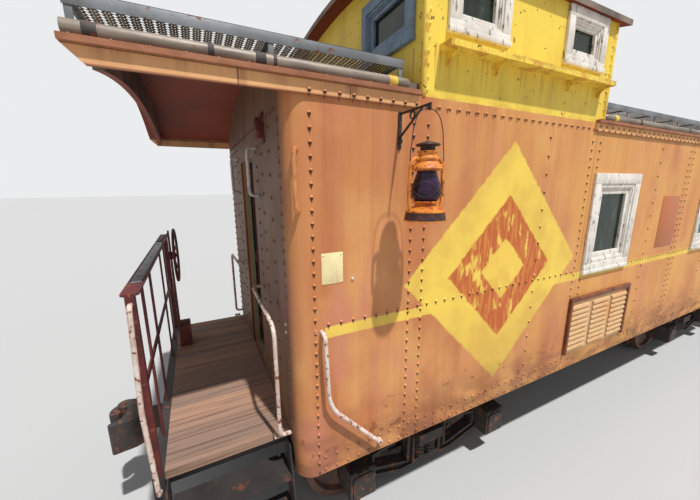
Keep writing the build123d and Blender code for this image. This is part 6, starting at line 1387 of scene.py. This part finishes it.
# Outlines: distance from the lantern's axis, height above its foot
TANK = ((0, 0.002), (0.112, 0.002), (0.117, 0.000), (0.122, 0.004), (0.113, 0.052), (0.117, 0.055),
        (0.117, 0.061), (0.111, 0.064), (0.090, 0.076), (0.066, 0.088), (0.058, 0.098), (0.064, 0.106),
        (0.074, 0.110), (0.074, 0.118), (0.0, 0.118))
GLOBE = ((0.0, 0.119), (0.062, 0.119), (0.076, 0.130), (0.084, 0.150), (0.086, 0.172), (0.082, 0.200),
         (0.073, 0.230), (0.062, 0.260), (0.055, 0.284), (0.054, 0.294), (0.0, 0.294))
HOOD = ((0.0, 0.286), (0.066, 0.286), (0.076, 0.290), (0.088, 0.292), (0.092, 0.298), (0.089, 0.306),
        (0.080, 0.316), (0.064, 0.330), (0.058, 0.338), (0.062, 0.343), (0.064, 0.352), (0.060, 0.362),
        (0.052, 0.368), (0.052, 0.384), (0.058, 0.388), (0.058, 0.394), (0.044, 0.398), (0.040, 0.412),
        (0.044, 0.420), (0.066, 0.423), (0.070, 0.428), (0.066, 0.433), (0.040, 0.441), (0.016, 0.448),
        (0.0, 0.449))
TUBE_ROUTE = ((0.084, 0.046), (0.112, 0.080), (0.121, 0.150), (0.118, 0.260), (0.112, 0.325), (0.092, 0.350),
              (0.050, 0.352))
TUBE_RADIUS = 0.0100
GUARD_RADIUS = 0.100
GUARD_WIRE = 0.0019
GUARD_MIDDLE = 0.186
GUARD_SWING = 0.042
GUARD_POINTS = 16
BAIL_WIRE = 0.0028


def at_lamp(x, y, z):
    return (lamp[0] + x, lamp[1] + y, lamp[2] + z)


tin = [turned(TANK, lamp, 40), turned(HOOD, lamp, 40)]
for way in (-1, 1):
    tin.append(wire([at_lamp(way * x, 0, z) for x, z in TUBE_ROUTE], TUBE_RADIUS, sides=3))
    tin.append(rod(at_lamp(way * 0.104, 0, 0.320), 0.020, 0.009, "x", 0.002, 16))
tin.append(rod(at_lamp(0.052, -0.062, 0.070), 0.022, 0.017, "z", 0.003, 20))
tin.append(rod(at_lamp(-0.020, -0.090, 0.108), 0.050, 0.0035, "y", 0.001, 12))
lantern_tin = join(tin, "lantern_tin", "rusty_tin", smooth=35)
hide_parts("lantern")
dress(turned(GLOBE, lamp, 40), "lantern_globe", "globe_glass", smooth=60)

guards = []
for phase in (0.0, math.pi):
    loop = []
    for k in range(GUARD_POINTS):
        angle = math.tau * k / GUARD_POINTS
        height = GUARD_MIDDLE + GUARD_SWING * math.sin(angle * 2 + phase)
        loop.append(at_lamp(GUARD_RADIUS * math.cos(angle), GUARD_RADIUS * math.sin(angle), height))
    guards.append(wire(loop, GUARD_WIRE, closed=True, sides=1))
bail_top = lamp_high.z - lamp_low.z - 0.003
bail = [(-0.112, 0.320), (-0.120, 0.350), (-0.112, 0.440), (-0.098, 0.530), (-0.060, bail_top - 0.020),
        (0, bail_top)]
route = bail + [(-x, z) for x, z in reversed(bail[:-1])]
guards.append(wire([at_lamp(x, 0, z) for x, z in route], BAIL_WIRE, sides=2))
join(guards, "lantern_wires", "wrought_iron", smooth=60)

# %% [markdown]
# ## Plates, panel rail and rail fittings
#
# Small things that are screwed to the car: a cream plate by the corner, a faded one further along,
# the rusty rails over and beside the louvres, a galvanised strip with its bolts on each end railing,
# and four small plates with two bolt heads each, outside the edges of the platforms.

# %% Plates and rails
# Each plate: two corners, by their distance from the first column and their height above the floor
CREAM_PLATE = ((0.049, 1.159), (0.194, 1.358))
RED_PLATE = ((4.51, 0.97), (4.98, 1.61))
PLATE_OUT = 0.003
SCREW_IN = 0.012
RAIL_OUT = 0.006
RAIL_PAST = 0.012
RAIL_ABOVE = 0.014
RAIL_WIDTH = 0.030
NARROW_RAIL = 0.022


def side_plate(corners, name, finish):
    (x0, z0), (x1, z1) = corners
    plate = bar((first_column + x0, -half_width - PLATE_OUT, floor_z + z0),
                (first_column + x1, -half_width, floor_z + z1), 0.0012)
    parts = [plate]
    if finish == "cream_plate":
        for x in (x0 + SCREW_IN, x1 - SCREW_IN):
            for z in (z0 + SCREW_IN, z1 - SCREW_IN):
                place = (first_column + x, -half_width - PLATE_OUT, floor_z + z)
                parts.append(rivet_row(place, (0, 0, 0), 1, "-y", small_rivet))
    return join(parts, name, finish, smooth=40)


side_plate(CREAM_PLATE, "small_side_plate", "cream_plate")
side_plate(RED_PLATE, "faded_side_plate", "red_plate")
rail_face = louvre_low.y - RAIL_OUT
rail_left = louvre_low.x - RAIL_PAST
rail_right = louvre_high.x + RAIL_PAST
under_top = louvre_high.z - RAIL_WIDTH
# Each rail: its two ends along the car, its lowest and its highest point
LOUVRE_RAILS = ((rail_left, rail_right, under_top, louvre_high.z + RAIL_ABOVE),
                (louvre_high.x - RAIL_WIDTH, rail_right, louvre_low.z, under_top),
                (rail_left, louvre_low.x + NARROW_RAIL, louvre_low.z, under_top))
rails = [bar((x0, rail_face, z0), (x1, -half_width, z1)) for x0, x1, z0, z1 in LOUVRE_RAILS]
join(rails, "louvre_rails", "rusty_steel", smooth=40)

# %% Railing strips, foot plates and bolts
rail_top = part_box("end_railings")[1].z
STRIP_X = 5.402
STRIP_Y = (-0.97, 0.55)
STRIP_HALF = 0.030
STRIP_THICKNESS = 0.006
STRIP_BOLTS = 5
BOLT_FROM_END = 0.15
BOLT_MIDDLE = 0.005
BOLT_LENGTH = 0.0036
BOLT_RADIUS = 0.011
strips = []
strip_bolts = []
for end in (-1, 1):
    x = end * STRIP_X
    ends_y = sorted((STRIP_Y[0] * -end, STRIP_Y[1] * -end))
    strips.append(bar((x - STRIP_HALF, ends_y[0], rail_top),
                      (x + STRIP_HALF, ends_y[1], rail_top + STRIP_THICKNESS), 0.002))
    spread = ends_y[1] - ends_y[0] - 2 * BOLT_FROM_END
    for k in range(STRIP_BOLTS):
        y = ends_y[0] + BOLT_FROM_END + k * spread / (STRIP_BOLTS - 1)
        strip_bolts.append(rod((x, y, rail_top + BOLT_MIDDLE), BOLT_LENGTH, BOLT_RADIUS, "z", 0.0005, 20))
join(strips, "railing_strips", "galvanised_grating", smooth=40)
join(strip_bolts, "railing_strip_bolts", "wrought_iron", smooth=40)

FOOT_FROM_WALL = 0.081
FOOT_ACROSS = 1.19
FOOT_HALF_LENGTH = 0.035
FOOT_HALF_WIDTH = 0.03
FOOT_THICKNESS = 0.008
FOOT_BOLT_SHIFT = 0.022
feet = []
for end in (-1, 1):
    for side in (-1, 1):
        x = end * (half_body + FOOT_FROM_WALL)
        y = side * FOOT_ACROSS
        foot_top = floor_z + FOOT_THICKNESS
        feet.append(bar((x - FOOT_HALF_LENGTH, y - FOOT_HALF_WIDTH, floor_z),
                        (x + FOOT_HALF_LENGTH, y + FOOT_HALF_WIDTH, foot_top), 0.003))
        for shift in (-FOOT_BOLT_SHIFT, FOOT_BOLT_SHIFT):
            feet.append(rivet_row((x + shift, y, foot_top), (0, 0, 0), 1, "+z", small_rivet))
join(feet, "handrail_feet", "handrail_paint", smooth=40)

# %% [markdown]
# ## Lamp brackets and bolts
#
# A dark red lamp bracket is fixed to the end wall under the roof beside the door, with a back plate.
# Two bolts on the end wall clamp the corner handrail, one on the side holds its upper end, and a
# lone bolt head is left in the side by the small plate.

# %% Lamp brackets and bolts
BRACKET_ACROSS = 0.855
# Each part of a bracket: how far it stands out, half its width, its lowest and highest point, its edges
BRACKET_PARTS = ((0.055, 0.035, 2.085, 2.215, 0.008), (0.012, 0.050, 2.050, 2.250, 0.003))
# Each bolt: its distance from the middle of the end, or from the first column, and its height
CLAMP_BOLTS = ((1.235, 0.863), (1.238, 0.808))
SIDE_BOLTS = ((0.001, 0.852), (0.262, 1.172))

brackets = []
for end in (-1, 1):
    for out, reach, low, high, edge in BRACKET_PARTS:
        near, far = sorted((end * half_body, end * (half_body + out)))
        middle = end * BRACKET_ACROSS
        brackets.append(bar((near, middle - reach, floor_z + low),
                            (far, middle + reach, floor_z + high), edge))
join(brackets, "lamp_brackets", "railing_paint", smooth=40)

bolts = []
for across, height in CLAMP_BOLTS:
    bolts.append(rivet_row((-half_body, -across, floor_z + height), (0, 0, 0), 1, "-x"))
for x_rel, height in SIDE_BOLTS:
    bolts.append(rivet_row((first_column + x_rel, -half_width, floor_z + height), (0, 0, 0), 1, "-y"))
join(bolts, "corner_bolts", "handrail_paint", smooth=50)

# %% [markdown]
# ## Bunks
#
# Through the windows the bunks show: painted boxes with leathercloth cushions. A cushion is a soft
# form that is full in the middle and pulls in between its corners, so it starts as a finely divided
# block whose top and sides are then swelled and drawn in by a formula.

# %% Bunk boxes and cushions
bunk_low, bunk_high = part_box("bunks")
BUNK_DEPTH = 0.620
CUSHION_THICKNESS = 0.080
CUSHION_LIP = 0.030
CUSHION_GAP = 0.006
# How much of its thickness a cushion keeps at its edge and gains at its crown, and how it is drawn in
EDGE_HEIGHT = 0.62
CROWN_RISE = 0.38
UNDER_SAG = 0.10
DRAW_ALONG = 0.020
DRAW_ACROSS = 0.030
CREASE = 0.004
PANEL_OUT = 0.008
PANEL_IN = 0.05
PANEL_FOOT = 0.04
SHORT_BUNK = (3.172, 1.272)
# Each bunk: its side, its two ends along the car and how many cushions lie on it
BUNKS = ((-1, bunk_low.x, bunk_high.x, 3), (1, half_body - SHORT_BUNK[0], half_body - SHORT_BUNK[1], 2))


def cushion(low, high):
    """A stuffed pad between two corners, crowned on top and drawn in along its sides."""
    made = bar(low, high, 0)
    bpy.ops.object.mode_set(mode="EDIT")
    bpy.ops.mesh.select_all(action="SELECT")
    bpy.ops.mesh.subdivide(number_cuts=13)
    bpy.ops.object.mode_set(mode="OBJECT")
    middle = [(a + b) / 2 for a, b in zip(low, high)]
    half = [(b - a) / 2 for a, b in zip(low, high)]
    for vertex in made.data.vertices:
        u, v, w = [(vertex.co[k] - middle[k]) / half[k] for k in range(3)]
        crown = (1 - u ** 4) * (1 - v ** 4)
        edge = max(abs(u), abs(v)) ** 6
        waist = 1 - 0.6 * (1 - w * w)
        sag = UNDER_SAG * half[2] if w < 0 else 0
        vertex.co.z = middle[2] + w * half[2] * (EDGE_HEIGHT + CROWN_RISE * crown) - sag
        vertex.co.x -= u * half[0] * DRAW_ALONG * (1 - v * v) * waist
        vertex.co.y -= v * half[1] * DRAW_ACROSS * (1 - u * u) * waist
        vertex.co.z += CREASE * math.sin(9 * u + 4 * v) * crown * (1 - edge) if w > 0 else 0
    apply(made, "SUBSURF", levels=1, render_levels=1)
    return made


boxes = []
cushions = []
for side, start, end, count in BUNKS:
    wall_side = side * abs(bunk_high.y)
    front = side * (abs(bunk_high.y) - BUNK_DEPTH)
    y0, y1 = sorted((wall_side, front))
    top = bunk_high.z - CUSHION_THICKNESS
    boxes.append(bar((start, y0, bunk_low.z), (end, y1, top - 0.004), 0.004))
    length = (end - start) / count
    face = front - side * PANEL_OUT
    f0, f1 = sorted((face, front))
    c0, c1 = sorted((wall_side, front - side * CUSHION_LIP))
    for k in range(count):
        left = start + k * length
        boxes.append(bar((left + PANEL_IN, f0, bunk_low.z + PANEL_FOOT),
                         (left + length - PANEL_IN, f1, top - PANEL_IN), 0.003))
        cushions.append(cushion((left + CUSHION_GAP, c0, top),
                                (left + length - CUSHION_GAP, c1, bunk_high.z)))
bunk_boxes = join(boxes, "bunk_boxes", "inside_paint", smooth=40)
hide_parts("bunks")
bunk_cushions = join(cushions, "bunk_cushions", "cushion_leather", smooth=60)
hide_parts("bunks")

# %% [markdown]
# ## The forms that were copied from
#
# The forms that were only copied from are removed.

# %% Remove the copied forms
for form in (rivet, small_rivet, lozenge_form, side_form, cupola_form, cupola_end_form):
    bpy.data.objects.remove(form)
